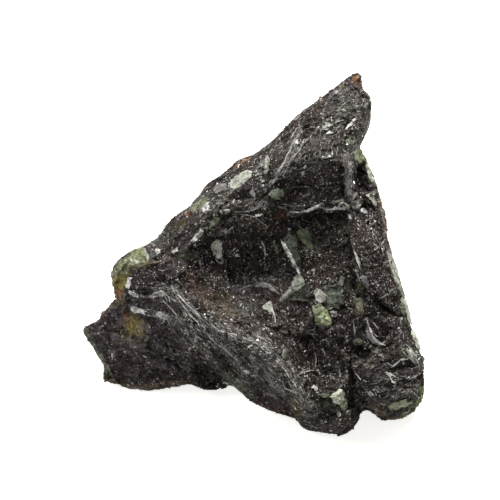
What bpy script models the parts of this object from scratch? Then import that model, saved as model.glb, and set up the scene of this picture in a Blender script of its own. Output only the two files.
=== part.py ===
"""A broken lump of gymnite: dark serpentine-like rock with green, waxy veins, resting on a flat break.

Lengths are millimetres up to the last step, which scales them to metres. The lump is laid out in the frame
of its show face: across to the right, up the face, and proud of the face towards the viewer. The face leans
back on the table, so each of its points is turned into the resting frame, with +Z up and +Y away.
"""
import math

import bmesh
import bpy
from mathutils import Vector, geometry, kdtree, noise

NAME = "gymnite_stone"
MM = 0.001

# How the show face leans back: its normal points this far above the horizon.
FACE_NORMAL_ELEVATION = math.radians(60)
# Height of the face frame's origin over the table.
FACE_ORIGIN_HEIGHT = 24.2
# The distance at which the face was sighted. A corner behind the face's middle plane lies further out than
# it looks, so across and up are spread by its depth.
SIGHTING_DISTANCE = 417.0
# How far the rough blank reaches behind and before the face's middle plane.
BLANK_BACK = -50.0
BLANK_FRONT = 14.0
# The bulk clears the rim at the front by this factor, and narrows from this far behind it.
BULK_FLARE = 1.02
RIM_THICKNESS = 1.0

# The edge of the show face, clockwise from the apex: across, up, proud.
OUTLINE = [
    (18.1, 29.7, -9), (18.9, 27.7, -8.5), (18.8, 26.1, -8), (20.3, 25.1, -8), (20.1, 22, -7.5),
    (19.6, 19.5, -7), (18.3, 17.2, -8), (19.6, 14.9, -8), (21.3, 10.8, -7.5), (22.4, 6.2, -7), (23, 1.7, -7),
    (24.2, -2, -7), (25.4, -5.8, -7), (26.2, -10, -7), (26.7, -12.4, -7.5), (27.9, -15.7, -8),
    (29.1, -18.7, -8.5), (29.2, -24, -9), (28.5, -26.1, -9.5), (26.3, -27.8, -10), (24.2, -28.8, -10),
    (21.6, -27.9, -9.5), (19.2, -26.2, -9.5), (18.5, -26.4, -9), (18.3, -27.8, -7.5), (17.2, -29.5, -8),
    (15.5, -30.9, -8), (12.5, -30.5, -8), (9.9, -30.6, -8), (8, -29.5, -7.5), (8.2, -28.4, -7),
    (6.5, -27.8, -6.5), (3.9, -27, -6.5), (0.9, -25.6, -7), (-1.1, -24.2, -8), (-3, -22.5, -9),
    (-3.7, -22.3, -11), (-5.5, -23.4, -11.5), (-7.5, -23.3, -11.5), (-9.3, -22.7, -11.5),
    (-10.8, -22.7, -11.5), (-14.2, -22.9, -12), (-16.7, -23.4, -12), (-20, -23.2, -12.5),
    (-23.5, -22.8, -13), (-24.4, -21.3, -13), (-23.9, -19.2, -12.5), (-25.8, -16.7, -13), (-27.2, -15, -13.5),
    (-28, -13.5, -14), (-27.3, -12.6, -13.5), (-25.9, -11.8, -13), (-24.9, -10, -12.5), (-22.9, -7.6, -12),
    (-23.2, -5.7, -11), (-23.1, -2.9, -10.5), (-21.6, -1.2, -10), (-18.8, 0.4, -10), (-17.7, 0.5, -10),
    (-16.3, 1.2, -10.5), (-14.5, 2.8, -10.5), (-14.3, 4.3, -10.5), (-12.6, 5.6, -10.5), (-10.1, 7.2, -10),
    (-8.4, 9.3, -10), (-7.1, 10.9, -9.5), (-5.3, 12.4, -9.5), (-2, 15, -9), (1.1, 16.1, -9),
    (4.1, 18.5, -8.5), (6.6, 21, -8.5), (9.1, 23.8, -8.5), (11.7, 25.4, -8.5), (14.2, 27.1, -9),
    (16, 28.6, -9), (17, 29.5, -9),
]

# Lines on the show face that its facets break along. Each is an open chain of corners.
FACE_LINES = {
    "ridge_crest": [
        (-13, -6.7, -5), (-10.8, -8.3, -3.5), (-8.3, -10.5, -2), (-5.8, -12, -0.5), (-2.5, -13.3, 0.8),
        (0, -14.7, 1.6), (2, -15.8, 2), (3.7, -17, 2.2), (5.8, -19.7, 2), (7.2, -21.7, 1.3), (8.3, -24.5, 0),
        (9.5, -25.8, -1.5), (10.2, -26.7, -3),
    ],
    "ridge_shoulder": [
        (-15, -9.7, -6.5), (-10.8, -12.5, -4), (-7.5, -15.8, -3), (-5.3, -18.7, -3.5), (-3.9, -20.8, -5.5),
    ],
    "ridge_belly": [(-3, -16.5, -0.5), (2, -18.7, 0.8), (5, -23, -1), (6.9, -25.8, -3)],
    "under_ridge": [(-2, -20.2, -4.8), (1.5, -22.1, -3.2), (4.5, -24.9, -4.4), (7.2, -26.9, -5)],
    "ridge_inner_foot": [
        (-10, -6.2, -6.5), (-6.5, -8.5, -5.5), (-3, -10.4, -5), (0, -11.8, -3.8), (3.2, -13.6, -2.6),
        (6.3, -16, -3.5), (8, -19, -4.5), (9, -22, -4.2),
    ],
    "left_top_edge": [(-20, -3, -8.5), (-16.7, -2.4, -7), (-14.2, -2, -6), (-11.7, -3.3, -5.5)],
    "left_face_fold": [(-21, -8.3, -10), (-18.8, -5.5, -7.5), (-15, -6, -6.5)],
    "left_lower_fold": [(-22, -13.7, -11.5), (-19.3, -12.5, -9.5), (-15, -15, -8.8), (-10, -16.5, -7)],
    "left_hollow_rim": [(-20, -18, -11.5), (-14, -19, -10.3), (-11, -20.3, -10.6)],
    "left_hollow_floor": [(-9.2, -18.8, -10.5), (-7.3, -20.2, -11.8), (-5.4, -21.6, -12)],
    "bowl_rim": [
        (-7.5, 3.8, -5.6), (-5.8, 4.6, -5), (-4.2, 5.2, -4.5), (-1.7, 5.7, -4), (0.8, 4.7, -4.2),
        (3, 3, -4.8), (5, 1.9, -5.2), (6.8, -1.2, -5.4), (8.3, -4.2, -5.5), (6.7, -6.2, -5.5),
        (5.2, -7.8, -5.3), (3.7, -8.7, -5), (3.5, -10.8, -4.2), (4.4, -12.2, -3.3),
    ],
    "bowl_floor": [
        (-12.5, -1.3, -7.2), (-9.6, -1.8, -6.9), (-7.5, -1.3, -7.4), (-5.8, -2, -8), (-1.7, 0.8, -8.3),
        (2, -0.3, -8.6), (4.8, -3.4, -8.2), (3.3, -6.4, -7.8), (0, -3.3, -9), (-2.5, -5.8, -8.4),
        (-5.8, -5.6, -7),
    ],
    "bowl_left_wall": [(-9.2, 0.8, -6.4), (-7.2, 1.4, -7)],
    "bowl_lower_step": [(-3, -8.6, -6.2), (0, -9.6, -6.2), (2, -9.6, -6)],
    "strip_inner_crest": [
        (-16.7, -0.3, -9), (-13.3, 0.3, -7.5), (-10.8, 1.2, -6), (-8.8, 2.6, -5), (-7.4, 5, -4.3),
        (-5, 6.6, -3.4), (-2.5, 7.7, -3), (0, 8.2, -2.6), (2.5, 9.3, -2), (3.7, 11.2, -1.6), (5, 13, -1.2),
        (6.2, 15, -0.8), (7.2, 17, -1.5), (8.3, 19.4, -2.8), (9.8, 22.2, -5),
    ],
    "strip_fold": [(-11, 4, -8.4), (-5, 9, -6.2), (-0.5, 12, -5), (3.3, 15.4, -4.6), (6.2, 18.8, -5.4)],
    "upper_brow": [
        (6.9, 13.4, -0.9), (7.8, 13.9, -0.3), (9.2, 15, 0.3), (11.3, 15.3, 0.7), (14.2, 15.6, 0.5),
        (15.8, 15.3, 0), (16.2, 12.5, -0.6), (16.3, 10, -1.2), (16.5, 8.7, -1.9), (16.2, 7.8, -2.2),
        (14.7, 7.3, -1.8), (13, 7.2, -1.8), (11.3, 7.8, -1.5), (10, 7.2, -2), (8.3, 6.4, -3),
        (6.7, 6.5, -3.8),
    ],
    "upper_recess": [
        (7.4, 9.6, -4.2), (10, 11.3, -3.7), (12.5, 12.3, -2.3), (14.2, 10, -2.9), (11.7, 9.2, -3.5),
    ],
    "brow_cleft": [(4.6, 9.6, -3.4), (5.9, 11, -3.2), (6, 8.4, -4.6), (4.4, 6.9, -4.4)],
    "under_brow": [
        (5.6, 5.4, -5.6), (7.2, 5.3, -6.4), (8.8, 5.5, -6.5), (11.3, 6.6, -6.6), (13.3, 6.1, -6.3),
        (15.6, 6.3, -5.2),
    ],
    "upper_face": [(12, 20, -2.2), (14.2, 23.6, -4.6), (16.6, 27, -7)],
    "upper_face_right": [(16.6, 17, -2.6), (17.4, 20, -3.6), (17.5, 23.3, -5)],
    "pocket": [(17.4, 14.6, -6.4), (17.6, 12, -7.8), (18.3, 8.6, -7.6), (17.6, 7, -5.4)],
    "pocket_rim": [(19.5, 13.4, -6.8), (19.8, 11.7, -6.3), (20.6, 9.2, -5.8), (19, 6.2, -5.2)],
    "slab_edge": [
        (16.9, 5.2, -4.8), (17.2, 1.7, -3.6), (17.9, -2, -3), (18.8, -4.2, -2.6), (19.8, -6.5, -2.2),
        (21.4, -8, -2.7), (23.4, -9.6, -3.5), (25, -10.7, -5),
    ],
    "slab_edge_foot": [(16, 1.7, -5.3), (16.9, -2.2, -5.3), (17.7, -5.6, -5.4), (18.6, -7.3, -5.6)],
    "slab_face": [(20.6, 3.3, -4.6), (21, -2.6, -3.8), (22.6, -5.8, -3.8)],
    "crack_floor": [(19.8, -7.3, -5.2), (21.4, -8.8, -5.4), (23.4, -10.4, -5.8), (24.9, -11.5, -6.6)],
    "crack_lower_lip": [(19.6, -8, -4), (21.2, -9.5, -3.6), (23.2, -11.1, -3.9), (25, -12.6, -5)],
    "plate": [(8.8, 2, -6), (11.7, 2.5, -6.6), (14.2, 2.3, -6.2), (13.4, -1.7, -5.7), (10, -1.9, -5.9)],
    "plate_step_low": [(14.5, -4.3, -5.9), (14.5, -8.8, -5.8)],
    "plate_step_high": [(15.1, -4.3, -4.7), (15.1, -9, -4.6), (16.4, -8.3, -4.8)],
    "green_facet": [(8.6, -6.4, -5), (11, -6.6, -5.2), (9.2, -8.6, -5.6), (6.8, -8.6, -5.6)],
    "green_block_top": [(10.8, -9.3, -4.6), (12.8, -9.3, -4.6), (13.3, -12.3, -4.1), (11, -12.5, -4.1)],
    "valley_ledge_top": [
        (6.6, -12.9, -4.4), (8.3, -13.3, -4.4), (11.7, -13.5, -4.2), (15, -13.2, -4.5), (16.7, -13.3, -5),
    ],
    "valley_ledge_foot": [(7.8, -14.8, -5.6), (10, -15.4, -5.8), (13.3, -14.8, -5.2), (15.4, -15.2, -5.2)],
    "valley_floor": [(9.8, -18.8, -6.3), (12.4, -18.2, -5.4), (14.6, -18.7, -4.8)],
    "valley_sill": [(10, -22.3, -5), (12.5, -22.4, -4.1), (14.4, -22.4, -3.7)],
    "crevice_left_lip": [(15.7, -17.5, -4.4), (15.8, -21.7, -3.4), (15.7, -25, -3), (16.7, -27.3, -4.3)],
    "crevice_floor": [(16.9, -17.3, -7.4), (16.9, -21.7, -8.8), (16.8, -25, -8.8), (17.8, -26.6, -9)],
    "crevice_right_lip": [(18, -19.6, -3.4), (17.9, -22, -3.3), (18.1, -24.4, -4.3), (19.2, -25.4, -7)],
    "foot_crown": [(10.6, -24.4, -3.4), (12.5, -25.4, -2.5), (14.6, -25.2, -2.5), (14.8, -27.2, -3.2)],
    "foot_fold": [(10.2, -28.2, -5), (12, -28.4, -4.2), (15, -28.9, -5.4)],
    "flake_bed": [
        (17.5, -10.5, -5), (19.6, -11.6, -4.6), (20.6, -14, -4.3), (22.8, -14.2, -4), (25.6, -14.6, -5.2),
    ],
    "flake_left": [(16.9, -11.3, -4.9), (17.6, -14.9, -5)],
    "pit": [(18.3, -16.6, -7.4), (19.6, -17, -7.4)],
    "pit_right": [(20.8, -15.8, -4.4), (21.3, -17.4, -4.2)],
    "lobe_shelf": [
        (17.6, -18.4, -4), (19.2, -18.6, -3), (21.7, -18.5, -2.8), (23.7, -17.8, -3.4), (25.8, -17.3, -5),
    ],
    "lobe_crown": [(19.4, -21.7, -2.6), (22.5, -21.7, -2), (25, -20.8, -3), (27, -20.3, -5)],
    "lobe_lower": [(20, -24.2, -3), (23.3, -24.3, -3), (25.8, -23.8, -4.2), (27.5, -23.2, -6)],
    "lobe_green_lip": [(20.6, -25.9, -6), (23, -26.4, -5.2), (25, -25.7, -5.2), (27, -24.9, -6.7)],
}

# Corners of the bulk behind the face, in the resting frame: x to the right, y away, z up. Those below the
# table end in the flat break that the lump rests on.
BULK_CORNERS = [
    (-12, -6, -3), (-4, -9, -3), (4, -12.5, -3), (11, -16.5, -3), (17, -17, -3), (22, -13, -3), (23, -3, -3),
    (19, 9, -3), (9, 15.5, -3), (-3, 13, -3), (-11, 7.5, -3), (-16, 0, -3),
    (-22, -6, 2), (-19, 3, 7), (-11, 11, 10), (0, 18.5, 13), (9, 24, 17), (17.5, 28.5, 22), (20.5, 17, 14),
    (23.5, 2, 8), (26.5, -11, 4), (-5, 16.5, 5), (6, 20.5, 6), (15, 19, 7), (17.8, 30.5, 28),
]

# Conchoidal hollows in the sides and the back: centre and radii in the resting frame.
HOLLOWS = {
    "back_scoop": ((3, 31, 9), (12, 12, 9)),
    "back_low_scoop": ((14, 30, 0), (9, 11, 8)),
    "back_left_scoop": ((-18, 18, 6), (11, 10, 8)),
    "left_scoop": ((-28, 3, 6), (9, 7, 6)),
    "right_scoop": ((33, 10, 12), (11.5, 10, 9)),
    "right_low_scoop": ((33, -5, 0), (9, 8, 6)),
}

# Hand work on the face after it is cut: a chain of points across and up, its half width and its height.
STROKES = [
    ("ridge_fold", [(-9, -13), (-4, -16.2), (1, -20.4), (4, -24)], 0.9, -0.45),
    ("ridge_groove", [(-7, -11.9), (-2, -14.6), (2.4, -17.6), (5.5, -22)], 0.7, -0.4),
    ("strip_groove", [(-9, 5.6), (-3, 10), (2, 13.4), (6.6, 18)], 0.8, -0.5),
    ("strip_rib", [(-12, 2.3), (-6, 7.6), (0, 10.4), (4.4, 14.3)], 0.8, 0.45),
    ("upper_groove", [(9.6, 17), (12, 18.6), (17, 21)], 0.7, -0.45),
    ("upper_rib", [(10.4, 19.4), (13.5, 21.3), (17.4, 23.2)], 0.8, 0.45),
    ("upper_high_groove", [(12.6, 23), (15, 25), (18, 25.6)], 0.7, -0.45),
    ("lobe_groove", [(20.4, -20), (23.4, -20), (28, -18.4)], 0.6, -0.55),
    ("lobe_low_groove", [(19.4, -23), (23.6, -23), (28.2, -21.8)], 0.6, -0.55),
    ("left_seam", [(-24.6, -13.4), (-21, -13.9), (-17.4, -14.6)], 0.7, -0.5),
    ("left_rib", [(-21.5, -16.6), (-16, -17.3), (-11, -17.9)], 0.9, 0.4),
]
# A stroke touches only the surface near the face, this far behind and before its middle plane.
STROKE_BACK = -11.0
# Steps that the rim is read in, between two of its corners.
RIM_STEPS = 6

# The grain of the blank before it is thinned, and how much its corners are rounded.
VOXEL = 0.7
ROUNDING_SHARE = 0.5
ROUNDING_PASSES = 2
# Rough fracture surface: size of the lumps and how far they push in or out.
LUMPS = [(7.5, 0.6), (3.2, 0.36)]
# The least share of the roughness that the rim takes, where it is seen edge on from the face.
RIM_SHARE = 0.35
RIM_WIDTH = 2.5
# Behind the rim the sides are only cut inwards. This far behind it they are at full depth.
SIDE_DEPTH = 1.5
SIDE_RUN = 4.0
# Slabby breakage: size of the chips and how far each is set in or out.
CHIP_SIZE = 3.6
CHIP_DEPTH = 0.42
CHIP_SHUFFLE = 7.3

# Triangles before the underside is cut away.
STONE_TRIANGLES = 9400
# Points closer than this are one point.
CLOSENESS = 0.0001
# Keeps the triangles inside the outline.
INSIDE_ONLY = 1
# How finely the round cutters are divided.
CUTTER_DIVISIONS = 4
SEED_OFFSET = Vector((31.7, 12.3, 5.1))

ROCK_COLOUR = (0.105, 0.092, 0.088, 1.0)
ROCK_ROUGHNESS = 0.62


def face_point(across, up, proud):
    """A point of the show face's frame, in the resting frame."""
    lean = FACE_NORMAL_ELEVATION
    spread = 1 - proud / SIGHTING_DISTANCE
    across *= spread
    up *= spread
    return Vector((
        across,
        up * math.sin(lean) - proud * math.cos(lean),
        up * math.cos(lean) + proud * math.sin(lean) + FACE_ORIGIN_HEIGHT,
    ))


def face_coordinates(point):
    """Across, up and proud of a point in the resting frame."""
    lean = FACE_NORMAL_ELEVATION
    height = point.z - FACE_ORIGIN_HEIGHT
    proud = height * math.sin(lean) - point.y * math.cos(lean)
    up = point.y * math.sin(lean) + height * math.cos(lean)
    spread = 1 - proud / SIGHTING_DISTANCE
    return point.x / spread, up / spread, proud


def clear_scene():
    for obj in list(bpy.data.objects):
        bpy.data.objects.remove(obj, do_unlink=True)


def new_collection(name):
    collection = bpy.data.collections.new(name)
    bpy.context.scene.collection.children.link(collection)
    return collection


def object_from_bmesh(name, shape, collection):
    bmesh.ops.recalc_face_normals(shape, faces=shape.faces)
    mesh = bpy.data.meshes.new(name)
    shape.to_mesh(mesh)
    shape.free()
    obj = bpy.data.objects.new(name, mesh)
    collection.objects.link(obj)
    return obj


def hide_helper(obj):
    obj.hide_render = True
    obj.display_type = "WIRE"


def face_blank(collection):
    """The show face as facets between its lines, drawn out straight behind it."""
    corners = list(OUTLINE)
    edges = []
    for line in FACE_LINES.values():
        first = len(corners)
        corners += line
        edges += [(i, i + 1) for i in range(first, len(corners) - 1)]
    flat = [Vector((across, up)) for across, up, _ in corners]
    rim = list(range(len(OUTLINE)))
    facets = geometry.delaunay_2d_cdt(flat, edges, [rim], INSIDE_ONLY, CLOSENESS)
    places, _, triangles, sources, _, _ = facets
    shape = bmesh.new()
    front = []
    for place, source in zip(places, sources):
        if not source:
            raise ValueError(f"two face lines cross at {place.x:.1f}, {place.y:.1f}")
        front.append(shape.verts.new(face_point(place.x, place.y, corners[source[0]][2])))
    for triangle in triangles:
        shape.faces.new([front[i] for i in triangle])
    drawn = bmesh.ops.extrude_face_region(shape, geom=list(shape.faces), use_keep_orig=True)
    for vert in (g for g in drawn["geom"] if isinstance(g, bmesh.types.BMVert)):
        across, up, _ = face_coordinates(vert.co)
        vert.co = face_point(across, up, BLANK_BACK)
    return object_from_bmesh(NAME, shape, collection)


def bulk(collection):
    """The convex bulk of the lump, open towards the face, which limits the blank's sides and back."""
    shape = bmesh.new()
    for across, up, proud in OUTLINE:
        shape.verts.new(face_point(across * BULK_FLARE, up * BULK_FLARE, BLANK_FRONT))
        shape.verts.new(face_point(across, up, proud - RIM_THICKNESS))
    for corner in BULK_CORNERS:
        shape.verts.new(corner)
    bmesh.ops.convex_hull(shape, input=shape.verts)
    inner = [v for v in shape.verts if not v.link_faces]
    bmesh.ops.delete(shape, geom=inner, context="VERTS")
    block = object_from_bmesh("bulk", shape, collection)
    hide_helper(block)
    return block


def hollow_cutter(name, centre, radii, collection):
    shape = bmesh.new()
    bmesh.ops.create_icosphere(shape, subdivisions=CUTTER_DIVISIONS, radius=1.0)
    for vert in shape.verts:
        vert.co = Vector(c + r * x for c, r, x in zip(centre, radii, vert.co))
    cutter = object_from_bmesh(name, shape, collection)
    hide_helper(cutter)
    return cutter


def add_boolean(stone, other, operation):
    step = stone.modifiers.new(other.name, "BOOLEAN")
    step.operation = operation
    step.object = other
    step.solver = "EXACT"


def apply_modifiers(obj):
    bpy.context.view_layer.update()
    graph = bpy.context.evaluated_depsgraph_get()
    mesh = bpy.data.meshes.new_from_object(obj.evaluated_get(graph))
    obj.modifiers.clear()
    obj.data = mesh


def rim_chain():
    """Points close together along the edge of the face: across, up, proud."""
    points = []
    for start, end in zip(OUTLINE, OUTLINE[1:] + OUTLINE[:1]):
        points += [Vector(start).lerp(Vector(end), step / RIM_STEPS) for step in range(RIM_STEPS)]
    return points


def distance_to_chain(across, up, chain):
    """How far a place on the face is from a chain of points."""
    place = Vector((across, up))
    nearest = math.inf
    for start, end in zip(chain, chain[1:]):
        on_line, share = geometry.intersect_point_line(place, Vector(start), Vector(end))
        on_line = Vector(start).lerp(Vector(end), min(max(share, 0), 1))
        nearest = min(nearest, (place - on_line).length)
    return nearest


def fracture(point):
    """How far the rough fracture stands out at a point: lumps, and chips that are each set in or out."""
    place = point + SEED_OFFSET
    push = sum(depth * noise.noise(place / size) for size, depth in LUMPS)
    _, chip_centres = noise.voronoi(place / CHIP_SIZE)
    return push + CHIP_DEPTH * noise.noise(chip_centres[0] * CHIP_SHUFFLE)


def stroke_height(across, up):
    """How far the hand strokes lift the face at a place."""
    height = 0.0
    for _, chain, width, lift in STROKES:
        reach = distance_to_chain(across, up, chain) / width
        height += lift * math.exp(-reach * reach)
    return height


def roughen(stone):
    """Lumps, chips and hand strokes. The rim keeps its outline, and the sides are only cut inwards."""
    face_normal = face_point(0, 0, 1) - face_point(0, 0, 0)
    rim = rim_chain()
    rim_tree = kdtree.KDTree(len(rim))
    for i, point in enumerate(rim):
        rim_tree.insert((point.x, point.y, 0), i)
    rim_tree.balance()
    moves = []
    for vert in stone.data.vertices:
        across, up, proud = face_coordinates(vert.co)
        edge_on = 1 - abs(vert.normal.dot(face_normal))
        _, nearest, distance = rim_tree.find((across, up, 0))
        at_rim = edge_on * max(1 - distance / RIM_WIDTH, 0)
        side = at_rim * min(max((rim[nearest].z - proud) / SIDE_RUN, 0), 1)
        push = fracture(vert.co) * (1 - (1 - RIM_SHARE) * at_rim + side)
        push = push * (1 - side) - abs(push) * SIDE_DEPTH * side
        move = vert.normal * push
        if proud > STROKE_BACK and vert.normal.dot(face_normal) > 0:
            move += face_normal * stroke_height(across, up)
        moves.append(move)
    for vert, move in zip(stone.data.vertices, moves):
        vert.co += move


def thin(stone):
    """Fewer, flatter facets."""
    stone.data.calc_loop_triangles()
    step = stone.modifiers.new("thin", "DECIMATE")
    step.ratio = STONE_TRIANGLES / len(stone.data.loop_triangles)
    step.use_collapse_triangulate = True
    apply_modifiers(stone)


def flatten_underside(stone):
    """Cut the lump on the table's plane, and close it with the flat break."""
    shape = bmesh.new()
    shape.from_mesh(stone.data)
    geom = list(shape.verts) + list(shape.edges) + list(shape.faces)
    cut = bmesh.ops.bisect_plane(
        shape, geom=geom, dist=CLOSENESS, plane_co=(0, 0, 0), plane_no=(0, 0, 1), clear_inner=True)
    rim = [g for g in cut["geom_cut"] if isinstance(g, bmesh.types.BMEdge)]
    for vert in {v for edge in rim for v in edge.verts}:
        vert.co.z = 0
    bmesh.ops.holes_fill(shape, edges=[e for e in shape.edges if e.is_boundary])
    bmesh.ops.triangulate(shape, faces=shape.faces)
    bmesh.ops.recalc_face_normals(shape, faces=shape.faces)
    shape.to_mesh(stone.data)
    shape.free()


def settle(stone):
    """Put the middle of the lump's box over the origin, and turn millimetres into metres."""
    points = [v.co for v in stone.data.vertices]
    middle = Vector((
        (min(p.x for p in points) + max(p.x for p in points)) / 2,
        (min(p.y for p in points) + max(p.y for p in points)) / 2,
        0,
    ))
    for vert in stone.data.vertices:
        vert.co = (vert.co - middle) * MM


def rock_material():
    material = bpy.data.materials.new("gymnite_rock")
    material.use_nodes = True
    shader = material.node_tree.nodes["Principled BSDF"]
    shader.inputs["Base Color"].default_value = ROCK_COLOUR
    shader.inputs["Roughness"].default_value = ROCK_ROUGHNESS
    shader.inputs["Metallic"].default_value = 0.0
    return material


def main():
    clear_scene()
    parts = new_collection("gymnite_specimen")
    helpers = new_collection("helpers")
    stone = face_blank(parts)
    add_boolean(stone, bulk(helpers), "INTERSECT")
    for name, (centre, radii) in HOLLOWS.items():
        add_boolean(stone, hollow_cutter(name, centre, radii, helpers), "DIFFERENCE")
    grain = stone.modifiers.new("grain", "REMESH")
    grain.mode = "VOXEL"
    grain.voxel_size = VOXEL
    rounding = stone.modifiers.new("rounding", "SMOOTH")
    rounding.factor = ROUNDING_SHARE
    rounding.iterations = ROUNDING_PASSES
    apply_modifiers(stone)
    roughen(stone)
    thin(stone)
    flatten_underside(stone)
    settle(stone)
    stone.data.materials.append(rock_material())


if __name__ == "__main__":
    main()
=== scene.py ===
"""Dresses a packed lump of gymnite: dark waxy rock with green veins, pale flakes, silk and bright grains.

Marks on the show face are placed as they are seen in the photograph, which is 500 pixels wide and high and
shows six pixels to a millimetre. A mark's places are in those pixels, and its width and height are in
millimetres.
"""
import math
from collections import namedtuple

import bpy
import numpy as np
from bpy.props import FloatProperty, FloatVectorProperty, IntProperty, PointerProperty
from bpy.types import Operator, Panel, PropertyGroup
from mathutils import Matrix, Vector, noise
from mathutils.bvhtree import BVHTree


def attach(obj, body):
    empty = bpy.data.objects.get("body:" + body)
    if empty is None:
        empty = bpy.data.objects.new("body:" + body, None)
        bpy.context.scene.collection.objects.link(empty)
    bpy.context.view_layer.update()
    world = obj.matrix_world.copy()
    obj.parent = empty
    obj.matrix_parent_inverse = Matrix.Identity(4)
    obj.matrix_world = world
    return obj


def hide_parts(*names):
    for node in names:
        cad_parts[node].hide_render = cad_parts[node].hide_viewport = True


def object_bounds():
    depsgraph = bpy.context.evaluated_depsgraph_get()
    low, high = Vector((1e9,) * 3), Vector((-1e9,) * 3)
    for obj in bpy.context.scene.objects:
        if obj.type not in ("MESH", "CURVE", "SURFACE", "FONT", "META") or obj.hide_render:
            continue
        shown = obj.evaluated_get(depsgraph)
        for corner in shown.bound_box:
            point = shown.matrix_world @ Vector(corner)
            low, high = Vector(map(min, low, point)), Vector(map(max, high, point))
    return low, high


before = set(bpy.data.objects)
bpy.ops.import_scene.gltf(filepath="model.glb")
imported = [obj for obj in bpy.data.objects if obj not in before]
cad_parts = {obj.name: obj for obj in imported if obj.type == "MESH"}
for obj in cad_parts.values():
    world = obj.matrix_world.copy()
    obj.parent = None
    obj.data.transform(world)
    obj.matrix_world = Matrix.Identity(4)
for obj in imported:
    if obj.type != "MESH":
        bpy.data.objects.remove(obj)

bl_info = {
    "name": "Gymnite Specimen",
    "version": (1, 0, 0),
    "blender": (4, 5, 0),
    "location": "3D View > Sidebar > Gymnite",
    "description": "Dresses a broken lump of gymnite with its rock, flakes, veins, fibres and grains",
    "category": "Object",
}

CAD_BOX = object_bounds()
NODE = "gymnite_stone"
STONE = "gymnite_lump"
BODY = "root"
MM = 0.001

# The show face leans back: its normal points this far above the horizon.
LEAN = math.radians(60)
FACE_RIGHT = np.array((1.0, 0.0, 0.0))
FACE_UP = np.array((0.0, math.sin(LEAN), math.cos(LEAN)))
FACE_OUT = np.array((0.0, -math.cos(LEAN), math.sin(LEAN)))
# Where the middle of the photograph meets the show face, in millimetres, and the camera's distance from it.
FACE_ORIGIN = np.array((-0.5265, -3.7602, 24.2))
SIGHTING_DISTANCE = 416.7
PHOTO_MIDDLE = 250
PIXELS_PER_MM = 6
# How squarely a point faces out of the show face before it counts as part of it.
ON_SHOW = 0.1
# The mesh is twice as fine where it faces out more than this.
FINE_MESH = 0.25
# No plate or thread gives back more light than this share.
WHITEST = 0.95

# What a tint of the rock is like: how dull, how much light it lets in, and how thick its specks are.
Finish = namedtuple("Finish", "dull wax specks")
FINISHES = {
    "black": Finish(0.5, 0.0, 0.1),
    "dark_rock": Finish(0.42, 0.0, 0.45),
    "brown_rock": Finish(0.46, 0.0, 0.8),
    "purple_rock": Finish(0.48, 0.0, 0.66),
    "lilac_rock": Finish(0.45, 0.05, 0.16),
    "grey_rock": Finish(0.5, 0.0, 0.28),
    "green_rock": Finish(0.4, 0.1, 0.3),
    "dim_green": Finish(0.36, 0.3, 0.2),
    "olive": Finish(0.45, 0.25, 0.25),
    "waxy_green": Finish(0.33, 0.6, 0.1),
    "pale_green": Finish(0.42, 0.35, 0.1),
    "yellow_green": Finish(0.38, 0.5, 0.1),
    "yellow": Finish(0.38, 0.6, 0.05),
    "orange": Finish(0.5, 0.4, 0.05),
    "rust": Finish(0.6, 0.1, 0.2),
    "tan": Finish(0.5, 0.1, 0.3),
    "blue_grey": Finish(0.36, 0.1, 0.2),
    "chalk": Finish(0.5, 0.2, 0.05),
    "lilac": Finish(0.45, 0.15, 0.2),
}

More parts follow.
